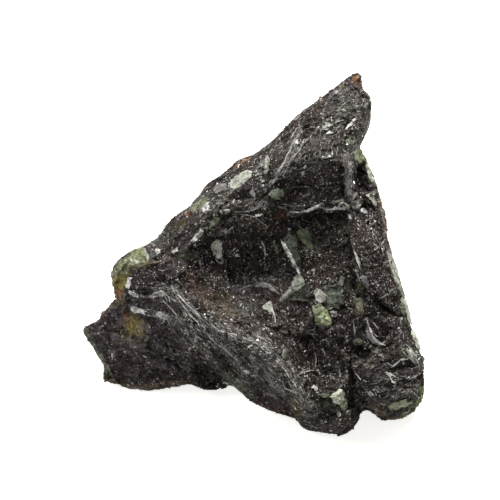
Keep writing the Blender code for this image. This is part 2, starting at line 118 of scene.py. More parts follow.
# A painted area: its tint, how much it covers, how soft its edge is in millimetres, and its corners.
Area = namedtuple("Area", "tint cover edge corners")
AREAS = {
    "upper face": Area("grey_rock", 0.8, 1.5, [(345, 85), (366, 100), (368, 122), (356, 152), (320, 158),
        (300, 176), (283, 178), (290, 150), (300, 118), (322, 98)]),
    "upper green band": Area("dim_green", 0.55, 0.8, [(335, 111), (340, 106), (347, 101), (360, 101),
        (360, 108), (352, 110), (342, 113)]),
    "strip": Area("grey_rock", 0.45, 2.0, [(160, 245), (198, 208), (240, 165), (292, 122), (302, 128),
        (282, 176), (250, 205), (214, 232), (186, 256), (160, 264)]),
    "strip purple band": Area("purple_rock", 0.8, 0.8, [(228, 190), (262, 174), (268, 180), (258, 194),
        (230, 198)]),
    "dark face": Area("purple_rock", 0.6, 0.8, [(294, 163), (320, 158), (345, 160), (345, 200), (328, 204),
        (305, 204), (290, 207), (284, 196)]),
    "bowl": Area("dark_rock", 0.6, 2.0, [(236, 224), (262, 216), (288, 236), (284, 262), (300, 284),
        (272, 300), (236, 302), (224, 282), (226, 250)]),
    "slab": Area("purple_rock", 0.85, 1.0, [(346, 216), (366, 212), (384, 196), (390, 240), (402, 290),
        (400, 318), (366, 290), (354, 250)]),
    "left face": Area("lilac_rock", 0.75, 1.5, [(128, 264), (165, 260), (196, 290), (178, 330),
        (130, 322)]),
    "left lower face": Area("lilac_rock", 0.9, 2.0, [(84, 332), (104, 312), (128, 296), (160, 300),
        (190, 336), (200, 378), (110, 384), (104, 362)]),
    # Painted shade: black laid in the carved hollow between the left block and the ridge.
    "left hollow": Area("black", 0.95, 1.0, [(194, 360), (210, 361), (213, 370), (226, 381), (218, 390),
        (205, 388), (195, 381), (192, 370)]),
    "left olive": Area("olive", 0.6, 1.5, [(112, 330), (128, 324), (140, 333), (154, 344), (116, 346)]),
    # Painted shade: black laid along the carved groove of the left block.
    "left groove shade": Area("black", 0.7, 1.0, [(106, 328), (128, 328), (132, 334), (108, 334)]),
    "left yellow spot": Area("yellow", 0.75, 1.4, [(123, 323), (128, 317), (136, 315), (141, 322),
        (146, 331), (141, 335), (132, 334), (126, 330)]),
    "left orange spot": Area("orange", 0.6, 1.2, [(121, 321), (125, 313), (130, 317), (128, 325)]),
    "green lump": Area("waxy_green", 0.97, 0.4, [(112, 272), (119, 261), (126, 256), (134, 250), (142, 247),
        (149, 256), (149, 265), (140, 267), (130, 270), (129, 276), (116, 278)]),
    "green lump yellow": Area("yellow", 0.9, 0.5, [(116, 275), (129, 273), (127, 282), (122, 291),
        (112, 289), (113, 280)]),
    "green lump orange": Area("orange", 0.8, 0.5, [(112, 289), (123, 289), (125, 295), (117, 300),
        (111, 296)]),
    "left pink foot": Area("tan", 0.5, 0.8, [(108, 298), (124, 296), (128, 304), (110, 308)]),
    "tan patch": Area("orange", 0.1, 1.2, [(184, 275), (194, 272), (204, 282), (212, 288), (217, 291),
        (217, 308), (211, 313), (205, 308), (197, 296), (187, 290)]),
    "tan patch olive": Area("olive", 0.4, 1.2, [(217, 292), (231, 295), (232, 314), (218, 318)]),
    "valley": Area("dark_rock", 0.85, 1.6, [(290, 326), (345, 322), (344, 386), (316, 396), (302, 372),
        (284, 346)]),
    "brown zone": Area("brown_rock", 0.85, 1.5, [(304, 248), (340, 236), (346, 284), (308, 286)]),
    "middle low": Area("dark_rock", 0.8, 1.2, [(276, 302), (310, 300), (312, 328), (284, 326)]),
    "under brow": Area("green_rock", 0.6, 0.8, [(309, 212), (322, 208), (328, 228), (318, 224),
        (310, 219)]),
    "green triangle": Area("olive", 0.85, 0.4, [(281, 301), (291, 295), (301, 290), (310, 281), (310, 298),
        (298, 300)]),
    "teal face": Area("blue_grey", 0.85, 0.4, [(325, 287), (338, 289), (338, 303), (328, 305), (326, 295)]),
    "upper blue face": Area("blue_grey", 0.6, 0.6, [(288, 222), (299, 216), (303, 226), (294, 231)]),
    "middle blue face": Area("blue_grey", 0.85, 0.5, [(283, 240), (291, 240), (296, 250), (300, 256),
        (300, 270), (290, 258)]),
    "red patch": Area("rust", 0.75, 0.7, [(276, 210), (288, 210), (288, 216), (281, 222), (276, 218)]),
    # Painted shade: black laid in the carved pocket and just below it.
    "pocket": Area("black", 0.95, 0.5, [(352, 166), (366, 166), (369, 190), (354, 192)]),
    "pocket low": Area("black", 0.8, 0.5, [(360, 196), (370, 201), (367, 206), (361, 203)]),
    "lobe": Area("black", 0.75, 1.5, [(352, 366), (410, 356), (424, 384), (420, 404), (396, 418),
        (362, 412), (356, 390)]),
    "ridge": Area("black", 0.8, 1.5, [(190, 312), (222, 334), (262, 350), (306, 404), (298, 415),
        (250, 394), (226, 370), (204, 344)]),
    # Painted shade: black laid in the carved crevice and pit.
    "crevice": Area("black", 0.9, 0.8, [(345, 362), (352, 362), (356, 376), (352, 408), (346, 410)]),
    "pit": Area("black", 0.95, 0.5, [(353, 347), (370, 346), (372, 358), (362, 362), (354, 359)]),
    "foot dome": Area("green_rock", 0.8, 0.8, [(306, 402), (322, 397), (336, 400), (342, 412), (312, 415)]),
    "foot bottom": Area("purple_rock", 0.9, 1.0, [(300, 415), (345, 415), (345, 432), (302, 430)]),
    "slab beige": Area("tan", 0.6, 0.4, [(352, 299), (360, 296), (365, 308), (363, 314), (357, 316),
        (354, 310)]),
    "slab olive": Area("olive", 0.95, 0.3, [(356, 283), (362, 282), (365, 289), (360, 294), (357, 289)]),
    "dark teal": Area("blue_grey", 0.3, 0.5, [(356, 318), (366, 318), (367, 334), (357, 335)]),
}


# A painted line: its tint, how much it covers, its width in millimetres, and its places in pixels.
Line = namedtuple("Line", "tint cover width places")
LINES = {
    "apex rust": Line("orange", 0.95, 1.3, [(357, 77), (354, 80)]),
    "apex brown": Line("rust", 0.8, 1.1, [(359, 83), (352, 81)]),
    "upper edge gold": Line("yellow", 0.5, 0.6, [(348, 83), (339, 89)]),
    "upper edge lilac": Line("lilac", 0.45, 0.9, [(345, 90), (336, 92), (330, 97)]),
    "upper edge brown": Line("rust", 0.4, 0.6, [(325, 99), (312, 110), (290, 126)]),
    "strip edge orange": Line("orange", 0.5, 0.5, [(250, 158), (241, 162), (235, 167)]),
    "strip olive": Line("olive", 0.8, 1.2, [(184, 222), (174, 228)]),
    "strip green corner": Line("waxy_green", 0.9, 1.3, [(208, 200), (200, 205), (192, 209)]),
    "strip rust": Line("orange", 0.5, 0.6, [(192, 212), (185, 216)]),
    "upper dark line": Line("black", 0.85, 0.6, [(339, 119), (349, 114), (360, 109)]),
    "pocket rim": Line("pale_green", 0.8, 1.1, [(366, 162), (369, 172), (372, 181)]),
    "pocket rim brown": Line("tan", 0.55, 0.7, [(375, 183), (380, 196), (383, 212), (386, 236)]),
    "slab rim": Line("pale_green", 0.7, 1.4, [(391, 255), (395, 268), (400, 290)]),
    "slab rim low": Line("pale_green", 0.7, 1.7, [(402, 300), (406, 310), (408, 318)]),
    "slab rim green": Line("green_rock", 0.8, 1.6, [(405, 318), (411, 330)]),
    "lobe shoulder": Line("dim_green", 0.5, 2.4, [(402, 350), (412, 354), (418, 362)]),
    "lobe rim": Line("yellow_green", 0.6, 1.2, [(420, 388), (424, 396), (420, 403), (408, 415),
        (395, 420)]),
    "lobe low rim": Line("tan", 0.5, 0.8, [(360, 404), (371, 406), (380, 414), (394, 420), (408, 416)]),
    # Olive rim and a waxy green line at the ridge's low end: green wax, with a painted glint.
    "ridge low rim": Line("olive", 0.8, 1.4, [(292, 402), (297, 411), (302, 418)]),
    "ridge low green": Line("waxy_green", 0.5, 0.8, [(294, 400), (299, 409)]),
    "ridge lower edge": Line("rust", 0.35, 0.8, [(254, 401), (265, 407), (278, 411), (291, 418)]),
    "ridge grey rim": Line("dim_green", 0.7, 2.2, [(228, 376), (238, 386), (250, 395)]),
    "left bottom rim": Line("tan", 0.7, 0.9, [(127, 386), (137, 388), (150, 387), (168, 383), (186, 381)]),
    "left corner yellow": Line("olive", 0.8, 1.4, [(106, 372), (109, 380), (114, 384), (124, 385)]),
    "left notch rim": Line("tan", 0.45, 0.9, [(112, 300), (104, 312), (95, 323)]),
    "left edge": Line("pale_green", 0.4, 1.1, [(84, 331), (93, 346), (101, 360), (107, 372)]),
    "strip low green": Line("green_rock", 0.9, 2.0, [(206, 230), (214, 222), (221, 215)]),
    "strip dull green": Line("dim_green", 0.9, 1.8, [(181, 257), (188, 254), (195, 255)]),
    "bowl rim": Line("tan", 0.4, 0.8, [(235, 216), (250, 219), (262, 228), (272, 236)]),
    "bowl floor green": Line("olive", 0.5, 1.5, [(226, 306), (232, 314)]),
    # Painted shadow and shade: black along the carved crack, where the slab's step casts its shadow, and
    # along the carved grooves of the ridge and beside the slab's left edge.
    "crack": Line("black", 0.97, 0.55, [(366, 291), (376, 300), (390, 311), (401, 315)]),
    "ridge groove shade": Line("black", 0.75, 0.8, [(178, 290), (190, 300), (199, 310)]),
    "slab left dark": Line("black", 0.85, 0.7, [(347, 240), (350, 258), (355, 276)]),
}


# A silky stretch: how strong, how wide in millimetres, and its places in pixels.
Silk = namedtuple("Silk", "strength width places")
SILKS = {
    "crest": Silk(1.0, 2.2, [(158, 292), (170, 292), (184, 304), (202, 321), (220, 331), (240, 336),
        (258, 344)]),
    "crest end": Silk(1.0, 2.4, [(256, 343), (271, 354), (284, 368), (295, 384), (303, 400), (310, 408)]),
    "lower band": Silk(0.9, 2.0, [(200, 326), (214, 340), (230, 352), (240, 364), (244, 378)]),
    "flank": Silk(0.5, 5.0, [(216, 338), (244, 356), (276, 386)]),
    "upper hairs": Silk(0.4, 5.0, [(306, 162), (324, 130), (346, 98)]),
    "upper hairs right": Silk(0.3, 3.0, [(332, 152), (350, 122), (362, 102)]),
    "upper edge": Silk(0.9, 1.4, [(300, 131), (292, 146), (284, 163), (277, 177), (267, 190)]),
    "upper edge right": Silk(0.8, 1.2, [(309, 136), (299, 150), (290, 161), (285, 174)]),
    "strip lines": Silk(0.6, 1.8, [(196, 208), (232, 204), (262, 202)]),
    "strip ends": Silk(0.5, 1.5, [(256, 172), (268, 158), (280, 146)]),
    "left tufts": Silk(0.7, 2.2, [(152, 312), (168, 318), (180, 322), (196, 340)]),
    "right shelf": Silk(0.6, 0.9, [(351, 365), (359, 363), (366, 366), (379, 366)]),
    "lobe": Silk(0.4, 2.4, [(378, 386), (398, 380), (416, 378)]),
    "lobe low": Silk(0.35, 1.8, [(384, 402), (400, 396), (418, 386)]),
    "pillar": Silk(0.8, 0.9, [(346, 156), (347, 180), (349, 197)]),
}


# The way the rock's grain runs near a place on the show face, in degrees up from the photograph's right.
GRAIN_RUNS = {
    "apex": ((345, 95), 45),
    "upper face": ((335, 130), 52),
    "upper left edge": ((302, 130), 70),
    "dark face": ((318, 180), 35),
    "strip": ((230, 190), 40),
    "strip low": ((180, 240), 25),
    "bowl": ((250, 255), 80),
    "ridge": ((230, 335), -38),
    "ridge low": ((290, 395), -55),
    "left face": ((145, 285), 3),
    "left low": ((140, 355), -8),
    "left block middle": ((185, 315), -45),
    "slab": ((375, 250), -78),
    "valley": ((320, 350), 85),
    "middle": ((310, 255), 60),
    "lobe": ((395, 385), 14),
    "foot": ((325, 412), -10),
    "right shelf": ((365, 340), 20),
}
# Picks the grain's ways on the hidden sides. Without a seed they would come from the clock.
HIDDEN_GRAIN_SEED = 5
# How wide a block of one grain is on those sides, in millimetres.
HIDDEN_BLOCK = 13

# A carved line: its width and height in millimetres, and its places in pixels.
Carving = namedtuple("Carving", "width height places")
CARVINGS = {
    "crack": Carving(0.45, -1.0, [(364, 290), (376, 300), (390, 311), (402, 316)]),
    "crevice": Carving(0.9, -1.0, [(350, 362), (352, 386), (351, 408)]),
    "pit": Carving(1.3, -1.0, [(359, 354), (366, 354)]),
    "pocket": Carving(1.0, -0.8, [(359, 170), (361, 188)]),
    "left hollow": Carving(1.6, -0.7, [(202, 366), (214, 384)]),
    "brow lip": Carving(0.3, 0.4, [(290, 212), (300, 213), (308, 211), (316, 207), (322, 204)]),
    "brow lip right": Carving(0.45, 0.5, [(328, 209), (336, 208), (341, 203), (350, 206)]),
    "under brow": Carving(0.9, -0.8, [(292, 219), (304, 218), (316, 212), (330, 214), (348, 213)]),
    "pillar": Carving(0.4, 0.5, [(347, 154), (347, 178), (349, 198)]),
    "pillar side": Carving(0.45, -0.4, [(340, 158), (342, 180), (343, 198)]),
    "upper border": Carving(0.4, 0.25, [(300, 176), (311, 159), (333, 156)]),
    "upper band one": Carving(0.4, -0.15, [(320, 120), (339, 119), (349, 114), (362, 108)]),
    "upper band two": Carving(0.4, -0.1, [(308, 138), (330, 134), (362, 120)]),
    "strip groove": Carving(0.4, -0.35, [(214, 204), (232, 198), (256, 196)]),
    "middle ledge": Carving(0.3, 0.45, [(280, 240), (284, 248), (289, 257), (295, 266), (300, 276)]),
    "beside ledge": Carving(0.6, -0.5, [(276, 246), (281, 256), (287, 266), (293, 276)]),
    "block foot": Carving(0.45, -0.5, [(308, 328), (320, 329), (334, 327)]),
    "slab edge": Carving(0.3, 0.35, [(352, 240), (356, 256), (360, 266), (366, 284)]),
    "beside slab": Carving(0.6, -0.6, [(347, 236), (350, 256), (354, 270), (355, 290)]),
    "arc one": Carving(0.25, 0.35, [(367, 319), (369, 328), (373, 338), (379, 344), (385, 345)]),
    "lobe groove one": Carving(0.45, -0.7, [(390, 370), (402, 367), (416, 366)]),
    "lobe groove two": Carving(0.4, -0.5, [(372, 388), (396, 386), (420, 378)]),
    "lobe groove three": Carving(0.3, -0.35, [(382, 400), (398, 393), (414, 386)]),
    "left seam": Carving(0.3, 0.3, [(129, 267), (147, 263), (160, 262), (172, 260)]),
    "left seam low": Carving(0.5, -0.4, [(104, 330), (130, 335), (152, 344)]),
    "foot groove": Carving(0.4, -0.4, [(300, 416), (322, 418), (344, 414)]),
    "ridge groove one": Carving(0.4, -0.35, [(178, 290), (198, 309), (212, 316)]),
    "ridge groove two": Carving(0.5, -0.3, [(196, 334), (222, 356), (240, 376)]),
}

# A thin plate that stands on the rock: its tint, its thickness in millimetres, and its corners in pixels.
Plate = namedtuple("Plate", "tint thick corners")
PLATES = {
    "sea facet": Plate("facet_green", 0.15, [(296, 232), (301, 228), (307, 229), (312, 237), (318, 248),
        (311, 250), (303, 244)]),
    "teal side": Plate("sea_dark", 0.2, [(284, 240), (288, 232), (294, 229), (297, 238), (298, 247),
        (291, 247), (286, 250)]),
    "deep facet": Plate("deep_green", 0.15, [(309, 230), (314, 233), (322, 248), (316, 251), (311, 247)]),
    "blue facet": Plate("sea_dark", 0.1, [(283, 240), (289, 240), (295, 249), (300, 256), (301, 268),
        (294, 262), (288, 252)]),
    # The streak's whiter tint carries painted light.
    "streak": Plate("bright_chalk", 0.35, [(280, 239), (284, 243), (288, 249), (292, 256), (296, 264),
        (299, 271), (301, 277), (299, 275), (295, 268), (290, 259), (286, 252), (282, 245)]),
    "junction": Plate("bright_film", 0.3, [(295, 277), (299, 274), (303, 278), (305, 282), (300, 284),
        (296, 287), (291, 292), (285, 298), (279, 302), (283, 295), (288, 289), (292, 284)]),
    "band": Plate("sea_green", 0.2, [(303, 282), (306, 284), (300, 289), (292, 295), (284, 301), (279, 303),
        (286, 296), (294, 289)]),
    "triangle": Plate("deep_green", 0.1, [(285, 300), (294, 295), (302, 288), (310, 283), (311, 296),
        (301, 300)]),
    "squiggle": Plate("brow_grey", 0.25, [(254, 286), (260, 283), (267, 283), (272, 286), (277, 291),
        (281, 295), (275, 293), (269, 287), (261, 286)]),
    "teal facet": Plate("sea_dark", 0.15, [(323, 286), (335, 286), (339, 289), (337, 302), (330, 305),
        (326, 297)]),
    "prism": Plate("sea_dark", 0.5, [(339, 278), (342, 276), (345, 277), (343, 290), (342, 304), (338, 306),
        (338, 292)]),
    "leaf": Plate("bright_film", 0.36, [(228, 183), (233, 178), (239, 174), (246, 170), (253, 171),
        (250, 177), (243, 185), (235, 189), (229, 187)]),
    "leaf back": Plate("brow_grey", 0.1, [(213, 188), (219, 183), (226, 184), (227, 188), (221, 191),
        (215, 193)]),
    "stripe one": Plate("bright_film", 0.18, [(256, 175), (260, 168), (263, 161), (264, 168), (261, 175)]),
    "stripe two": Plate("bright_film", 0.18, [(263, 173), (264, 163), (267, 155), (270, 158), (269, 169),
        (266, 174)]),
    "corner plate": Plate("chalk", 0.18, [(202, 206), (209, 202), (210, 208), (205, 213), (200, 211)]),
    "strip chip": Plate("chalk", 0.15, [(219, 212), (224, 209), (231, 209), (229, 213), (223, 215)]),
    "strip green plate": Plate("pale_green", 0.15, [(209, 223), (217, 217), (221, 219), (217, 225),
        (210, 229)]),
    "long chip": Plate("chalk", 0.2, [(191, 242), (193, 236), (199, 231), (204, 230), (203, 234),
        (198, 240), (193, 243)]),
    "cream chip": Plate("chalk", 0.16, [(219, 230), (223, 229), (228, 229), (234, 227), (230, 231),
        (225, 234), (221, 236)]),
    "slab rim plate": Plate("rim_grey", 0.15, [(387, 250), (391, 255), (397, 269), (401, 284), (403, 296),
        (399, 295), (395, 282), (391, 268), (388, 257)]),
    # The lower rim plates carry painted light in their tint.
    "slab rim low": Plate("rim_white", 0.2, [(402, 296), (406, 299), (409, 308), (411, 318), (413, 326),
        (409, 323), (406, 314), (403, 305)]),
    "slab rim end": Plate("rim_white", 0.15, [(413, 329), (416, 332), (419, 341), (421, 349), (417, 348),
        (414, 340), (411, 333)]),
    "lobe shoulder plate": Plate("cool_film", 0.2, [(406, 350), (411, 349), (416, 354), (418, 360),
        (413, 359), (409, 356)]),
    # The upright plate's tint carries painted light.
    "upright plate": Plate("bright_cool", 0.28, [(211, 244), (215, 240), (219, 239), (222, 243), (222, 249),
        (221, 254), (224, 261), (222, 264), (218, 262), (214, 256), (211, 249)]),
    "upright edge": Plate("bright_chalk", 0.34, [(218, 250), (221, 251), (221, 256), (224, 262), (220, 263),
        (218, 257)]),
    "left teal chip": Plate("blue_grey", 0.2, [(149, 250), (155, 252), (160, 255), (158, 259), (152, 259)]),
    "left white chip": Plate("chalk", 0.2, [(152, 250), (156, 248), (160, 249), (161, 253), (157, 254)]),
    "green lump edge": Plate("cool_film", 0.12, [(144, 248), (147, 251), (149, 257), (148, 261),
        (146, 255)]),
    "middle white chip": Plate("chalk", 0.2, [(170, 252), (174, 249), (178, 247), (178, 251), (174, 254)]),
    "blue dot": Plate("chalk", 0.2, [(193, 245), (195, 243), (197, 245), (196, 247), (194, 247)]),
    "pale blob": Plate("sea_green", 0.3, [(268, 194), (271, 190), (277, 188), (283, 190), (284, 196),
        (279, 199), (272, 198)]),
    "blob chip": Plate("chalk", 0.2, [(275, 190), (279, 189), (282, 192), (279, 195), (276, 194)]),
    "lens": Plate("sea_green", 0.2, [(272, 241), (275, 239), (277, 245), (279, 252), (277, 255),
        (274, 250)]),
    "high chip": Plate("bright_film", 0.12, [(321, 123), (325, 122), (330, 123), (333, 125), (330, 128),
        (326, 130), (322, 128)]),
    "high chip green": Plate("pale_green", 0.15, [(330, 124), (334, 122), (336, 125), (333, 129)]),
    "slant chip": Plate("chalk", 0.18, [(345, 128), (350, 123), (355, 118), (356, 120), (351, 126),
        (346, 129)]),
    "high green": Plate("pale_green", 0.12, [(345, 142), (350, 137), (357, 136), (360, 139), (354, 143),
        (348, 144)]),
    "pillar plate": Plate("pink", 0.45, [(344, 154), (348, 154), (350, 166), (349, 181), (351, 197),
        (348, 198), (346, 186), (345, 171), (343, 160)]),
    "pillar spur": Plate("brow_grey", 0.25, [(351, 190), (355, 192), (360, 197), (355, 197), (352, 202),
        (350, 197)]),
    "pillar foot": Plate("chalk", 0.25, [(352, 193), (358, 192), (356, 197), (353, 200), (350, 199)]),
    "brow plate": Plate("brow", 0.35, [(330, 209), (337, 206), (341, 202), (346, 203), (351, 206),
        (349, 209), (341, 210), (334, 210)]),
    "brow left plate": Plate("brow", 0.3, [(306, 211), (313, 207), (320, 204), (321, 207), (315, 209),
        (309, 212)]),
    "grey plate": Plate("brow_grey", 0.3, [(350, 201), (358, 201), (361, 207), (358, 211), (352, 209)]),
    "star": Plate("chalk", 0.25, [(360, 210), (363, 208), (366, 209), (368, 213), (365, 214), (362, 212)]),
    "pocket top": Plate("yellow_green", 0.25, [(352, 153), (357, 148), (362, 150), (365, 160), (360, 163),
        (355, 160)]),
    "pocket plate": Plate("bright_film", 0.3, [(365, 195), (370, 193), (374, 196), (378, 205), (375, 206),
        (370, 200)]),
    "pocket rim plate": Plate("wedge", 0.2, [(365, 163), (369, 165), (373, 174), (375, 182), (371, 182),
        (367, 174)]),
    "spot one": Plate("chalk", 0.2, [(303, 167), (305, 165), (307, 167), (305, 169)]),
    "spot two": Plate("chalk", 0.2, [(301, 173), (303, 171), (305, 173), (303, 176)]),
    "border chip right": Plate("chalk", 0.15, [(321, 157), (327, 155), (333, 156), (328, 158), (322, 158)]),
    "star chip": Plate("bright_film", 0.25, [(261, 306), (265, 304), (270, 301), (273, 305), (273, 312),
        (269, 313), (265, 310)]),
    "light blob": Plate("cool_film", 0.45, [(314, 290), (317, 288), (322, 290), (326, 296), (325, 302),
        (321, 304), (316, 301), (314, 295)]),
    "block": Plate("bright_green", 0.75, [(311, 306), (316, 306), (320, 303), (324, 308), (328, 311),
        (330, 317), (333, 324), (329, 326), (320, 326), (316, 324), (314, 316)]),
    "block top": Plate("chalk", 0.3, [(311, 306), (315, 305), (319, 307), (316, 309)]),
    "round spot": Plate("lilac_white", 0.5, [(330, 314), (331, 311), (334, 310), (337, 311), (338, 314),
        (337, 317), (334, 318), (331, 317)]),
    "green arc": Plate("pale_green", 0.2, [(326, 309), (331, 305), (338, 304), (340, 308), (334, 308),
        (329, 310)]),
    "slab beige plate": Plate("dull_film", 0.2, [(355, 298), (361, 297), (364, 304), (362, 312), (358, 316),
        (356, 309)]),
    "slab plate": Plate("pink", 0.3, [(360, 275), (365, 276), (369, 282), (369, 290), (365, 286),
        (361, 280)]),
    "pit plate": Plate("dull_film", 0.25, [(352, 341), (357, 338), (363, 340), (362, 345), (354, 345)]),
    "arc chip": Plate("dull_film", 0.2, [(374, 348), (379, 348), (384, 353), (381, 357), (376, 354),
        (372, 351)]),
    "arc blade": Plate("lilac_white", 0.25, [(367, 328), (371, 333), (376, 339), (384, 344), (381, 346),
        (374, 344), (369, 338), (366, 332)]),
    "lobe strip": Plate("bright_green", 0.35, [(387, 407), (393, 402), (401, 400), (408, 399), (414, 401),
        (407, 406), (397, 410), (390, 410)]),
    "ball": Plate("chalk", 0.5, [(312, 388), (314, 385), (317, 386), (318, 389), (315, 391)]),
    "foot leaf": Plate("pale_green", 0.25, [(320, 395), (326, 392), (331, 395), (327, 398), (322, 397)]),
    "wedge": Plate("wedge", 0.6, [(330, 397), (334, 392), (340, 389), (345, 392), (345, 399), (339, 404),
        (333, 402)]),
    "wedge low": Plate("facet_green", 0.5, [(338, 401), (343, 397), (347, 400), (348, 408), (345, 412),
        (341, 407)]),
    "foot chip": Plate("chalk", 0.25, [(336, 414), (339, 411), (342, 413), (339, 417)]),
    "left white wedge": Plate("bright_lilac", 0.2, [(130, 305), (134, 306), (139, 308), (145, 310),
        (145, 315), (140, 313), (135, 313), (131, 311)]),
    "left pink plate": Plate("bright_lilac", 0.2, [(127, 277), (132, 277), (131, 283), (129, 290),
        (125, 287), (127, 282)]),
    "left pink low": Plate("bright_lilac", 0.2, [(128, 290), (132, 291), (138, 295), (139, 299), (134, 296),
        (129, 294)]),
    "tuft plate": Plate("lilac_white", 0.2, [(155, 293), (161, 290), (168, 295), (160, 297)]),
    "tuft plate low": Plate("lilac_white", 0.2, [(155, 313), (160, 311), (170, 317), (175, 319), (165, 320),
        (159, 318)]),
}

# A thin raised line: its tint, its width in millimetres, how many strands it has, and its places in pixels.
Thread = namedtuple("Thread", "tint width strands places")
THREADS = {
    "squiggle left": Thread("lilac_white", 0.2, 1, [(240, 289), (248, 287), (254, 285)]),
    "squiggle edge": Thread("cool_film", 0.25, 3, [(258, 284), (266, 283), (272, 286), (277, 291),
        (281, 294)]),
    # The whitest of these threads carry painted light in their tint.
    "streak edge": Thread("bright_chalk", 0.28, 2, [(283, 242), (287, 250), (292, 258), (296, 268),
        (300, 276)]),
    "junction edge": Thread("bright_chalk", 0.25, 2, [(302, 279), (297, 285), (290, 292), (282, 300)]),
    "upright edge": Thread("bright_chalk", 0.25, 2, [(221, 249), (221, 256), (223, 262)]),
    "star tail": Thread("chalk", 0.3, 2, [(271, 304), (274, 313), (276, 323)]),
    "bowl arc": Thread("bright_chalk", 0.34, 1, [(262, 241), (264, 247), (265, 256)]),
    "bowl rim one": Thread("tan", 0.16, 3, [(234, 217), (250, 219), (261, 226), (271, 236)]),
    "bowl rim two": Thread("chalk", 0.12, 2, [(240, 214), (254, 217), (266, 226), (276, 238)]),
    "strip wave one": Thread("tan", 0.16, 2, [(212, 209), (230, 206), (246, 207), (260, 202)]),
    "strip wave two": Thread("chalk", 0.14, 2, [(232, 212), (248, 211), (262, 206), (272, 203)]),
    "fan one": Thread("chalk", 0.22, 2, [(267, 190), (272, 184), (278, 177)]),
    "fan two": Thread("chalk", 0.2, 2, [(271, 184), (277, 175), (281, 166)]),
    "edge streak one": Thread("chalk", 0.24, 4, [(278, 178), (284, 163), (292, 146), (299, 133)]),
    "edge streak two": Thread("chalk", 0.22, 4, [(285, 174), (290, 161), (299, 150), (308, 138)]),
    "edge streak three": Thread("chalk", 0.16, 3, [(280, 152), (288, 142), (297, 128)]),
    "high streak one": Thread("chalk", 0.14, 3, [(318, 132), (332, 124), (348, 118), (362, 112)]),
    "brow": Thread("brow", 0.35, 2, [(290, 212), (299, 213), (307, 211), (315, 207), (321, 204)]),
    "brow middle": Thread("brow", 0.3, 2, [(318, 206), (324, 208), (331, 209), (339, 206)]),
    "brow drop": Thread("brow_grey", 0.35, 1, [(314, 218), (319, 224), (322, 232)]),
    "pillar line one": Thread("pink", 0.18, 1, [(345, 156), (346, 172), (348, 197)]),
    "pillar line two": Thread("chalk", 0.18, 1, [(348, 156), (349, 176), (350, 196)]),
    "border line": Thread("tan", 0.12, 2, [(298, 166), (304, 162), (311, 159), (322, 157), (334, 155)]),
    "dash": Thread("chalk", 0.3, 1, [(300, 322), (305, 327)]),
    "thin line": Thread("chalk", 0.16, 1, [(303, 334), (311, 334), (319, 335)]),
    "curl": Thread("tan", 0.3, 1, [(293, 336), (298, 332), (303, 331)]),
    "ring": Thread("lilac_white", 0.22, 1, [(320, 345), (321, 341), (325, 339), (329, 342), (330, 347)]),
    "ring tail": Thread("chalk", 0.2, 1, [(321, 349), (324, 351), (325, 355)]),
    "twig low": Thread("chalk", 0.25, 1, [(315, 352), (316, 360), (315, 367)]),
    "low arc": Thread("chalk", 0.22, 2, [(297, 376), (302, 372), (311, 370), (320, 371)]),
    "hair one": Thread("chalk", 0.16, 1, [(343, 362), (340, 370), (341, 380)]),
    "hair two": Thread("chalk", 0.2, 2, [(339, 366), (340, 376), (345, 388)]),
    "slab line": Thread("chalk", 0.35, 2, [(352, 243), (355, 252), (358, 261), (361, 269)]),
    "slab line low": Thread("chalk", 0.3, 2, [(355, 268), (358, 276), (360, 282)]),
    "slab post": Thread("chalk", 0.3, 1, [(353, 320), (354, 327), (355, 335)]),
    "arc one": Thread("chalk", 0.45, 3, [(367, 320), (369, 328), (373, 338), (379, 344), (385, 345)]),
    "arc two": Thread("chalk", 0.25, 2, [(371, 330), (376, 336), (384, 337)]),
    "arc three": Thread("chalk", 0.18, 1, [(372, 321), (375, 325), (378, 329)]),
    "shelf": Thread("tan", 0.3, 3, [(351, 365), (359, 363), (366, 366), (372, 365), (379, 366)]),
    "lobe ray one": Thread("chalk", 0.22, 2, [(355, 373), (358, 376), (361, 380)]),
    "lobe ray two": Thread("chalk", 0.22, 2, [(388, 374), (391, 379), (394, 384)]),
    "shoulder lace one": Thread("cool_film", 0.3, 4, [(401, 350), (407, 356), (412, 360), (417, 367)]),
    "shoulder lace two": Thread("chalk", 0.25, 4, [(406, 344), (412, 350), (416, 358), (419, 366)]),
    "shoulder lace three": Thread("chalk", 0.24, 4, [(386, 362), (393, 366), (400, 360), (408, 358)]),
    "lobe lace": Thread("chalk", 0.22, 3, [(386, 372), (391, 374), (396, 377)]),
    "pit rim": Thread("dull_film", 0.35, 2, [(368, 364), (372, 361), (374, 357)]),
    "lobe line one": Thread("chalk", 0.16, 4, [(392, 398), (399, 393), (405, 391)]),
    "lobe line two": Thread("chalk", 0.16, 5, [(406, 381), (412, 378), (418, 374)]),
    "left seam": Thread("tan", 0.25, 2, [(130, 268), (140, 266), (148, 263), (160, 262), (171, 260)]),
    "ridge line one": Thread("chalk", 0.25, 4, [(172, 288), (184, 302), (196, 314), (208, 325)]),
    "ridge line two": Thread("chalk", 0.25, 4, [(206, 322), (222, 331), (240, 336), (258, 345)]),
    "ridge line three": Thread("chalk", 0.25, 4, [(256, 343), (271, 355), (284, 369), (295, 386),
        (304, 402)]),
    "ridge line four": Thread("chalk", 0.2, 4, [(204, 330), (217, 344), (230, 352), (240, 364),
        (244, 377)]),
    "tuft one": Thread("chalk", 0.2, 4, [(160, 298), (172, 310), (184, 326)]),
    "tuft two": Thread("chalk", 0.2, 4, [(176, 296), (188, 312), (200, 328)]),
}

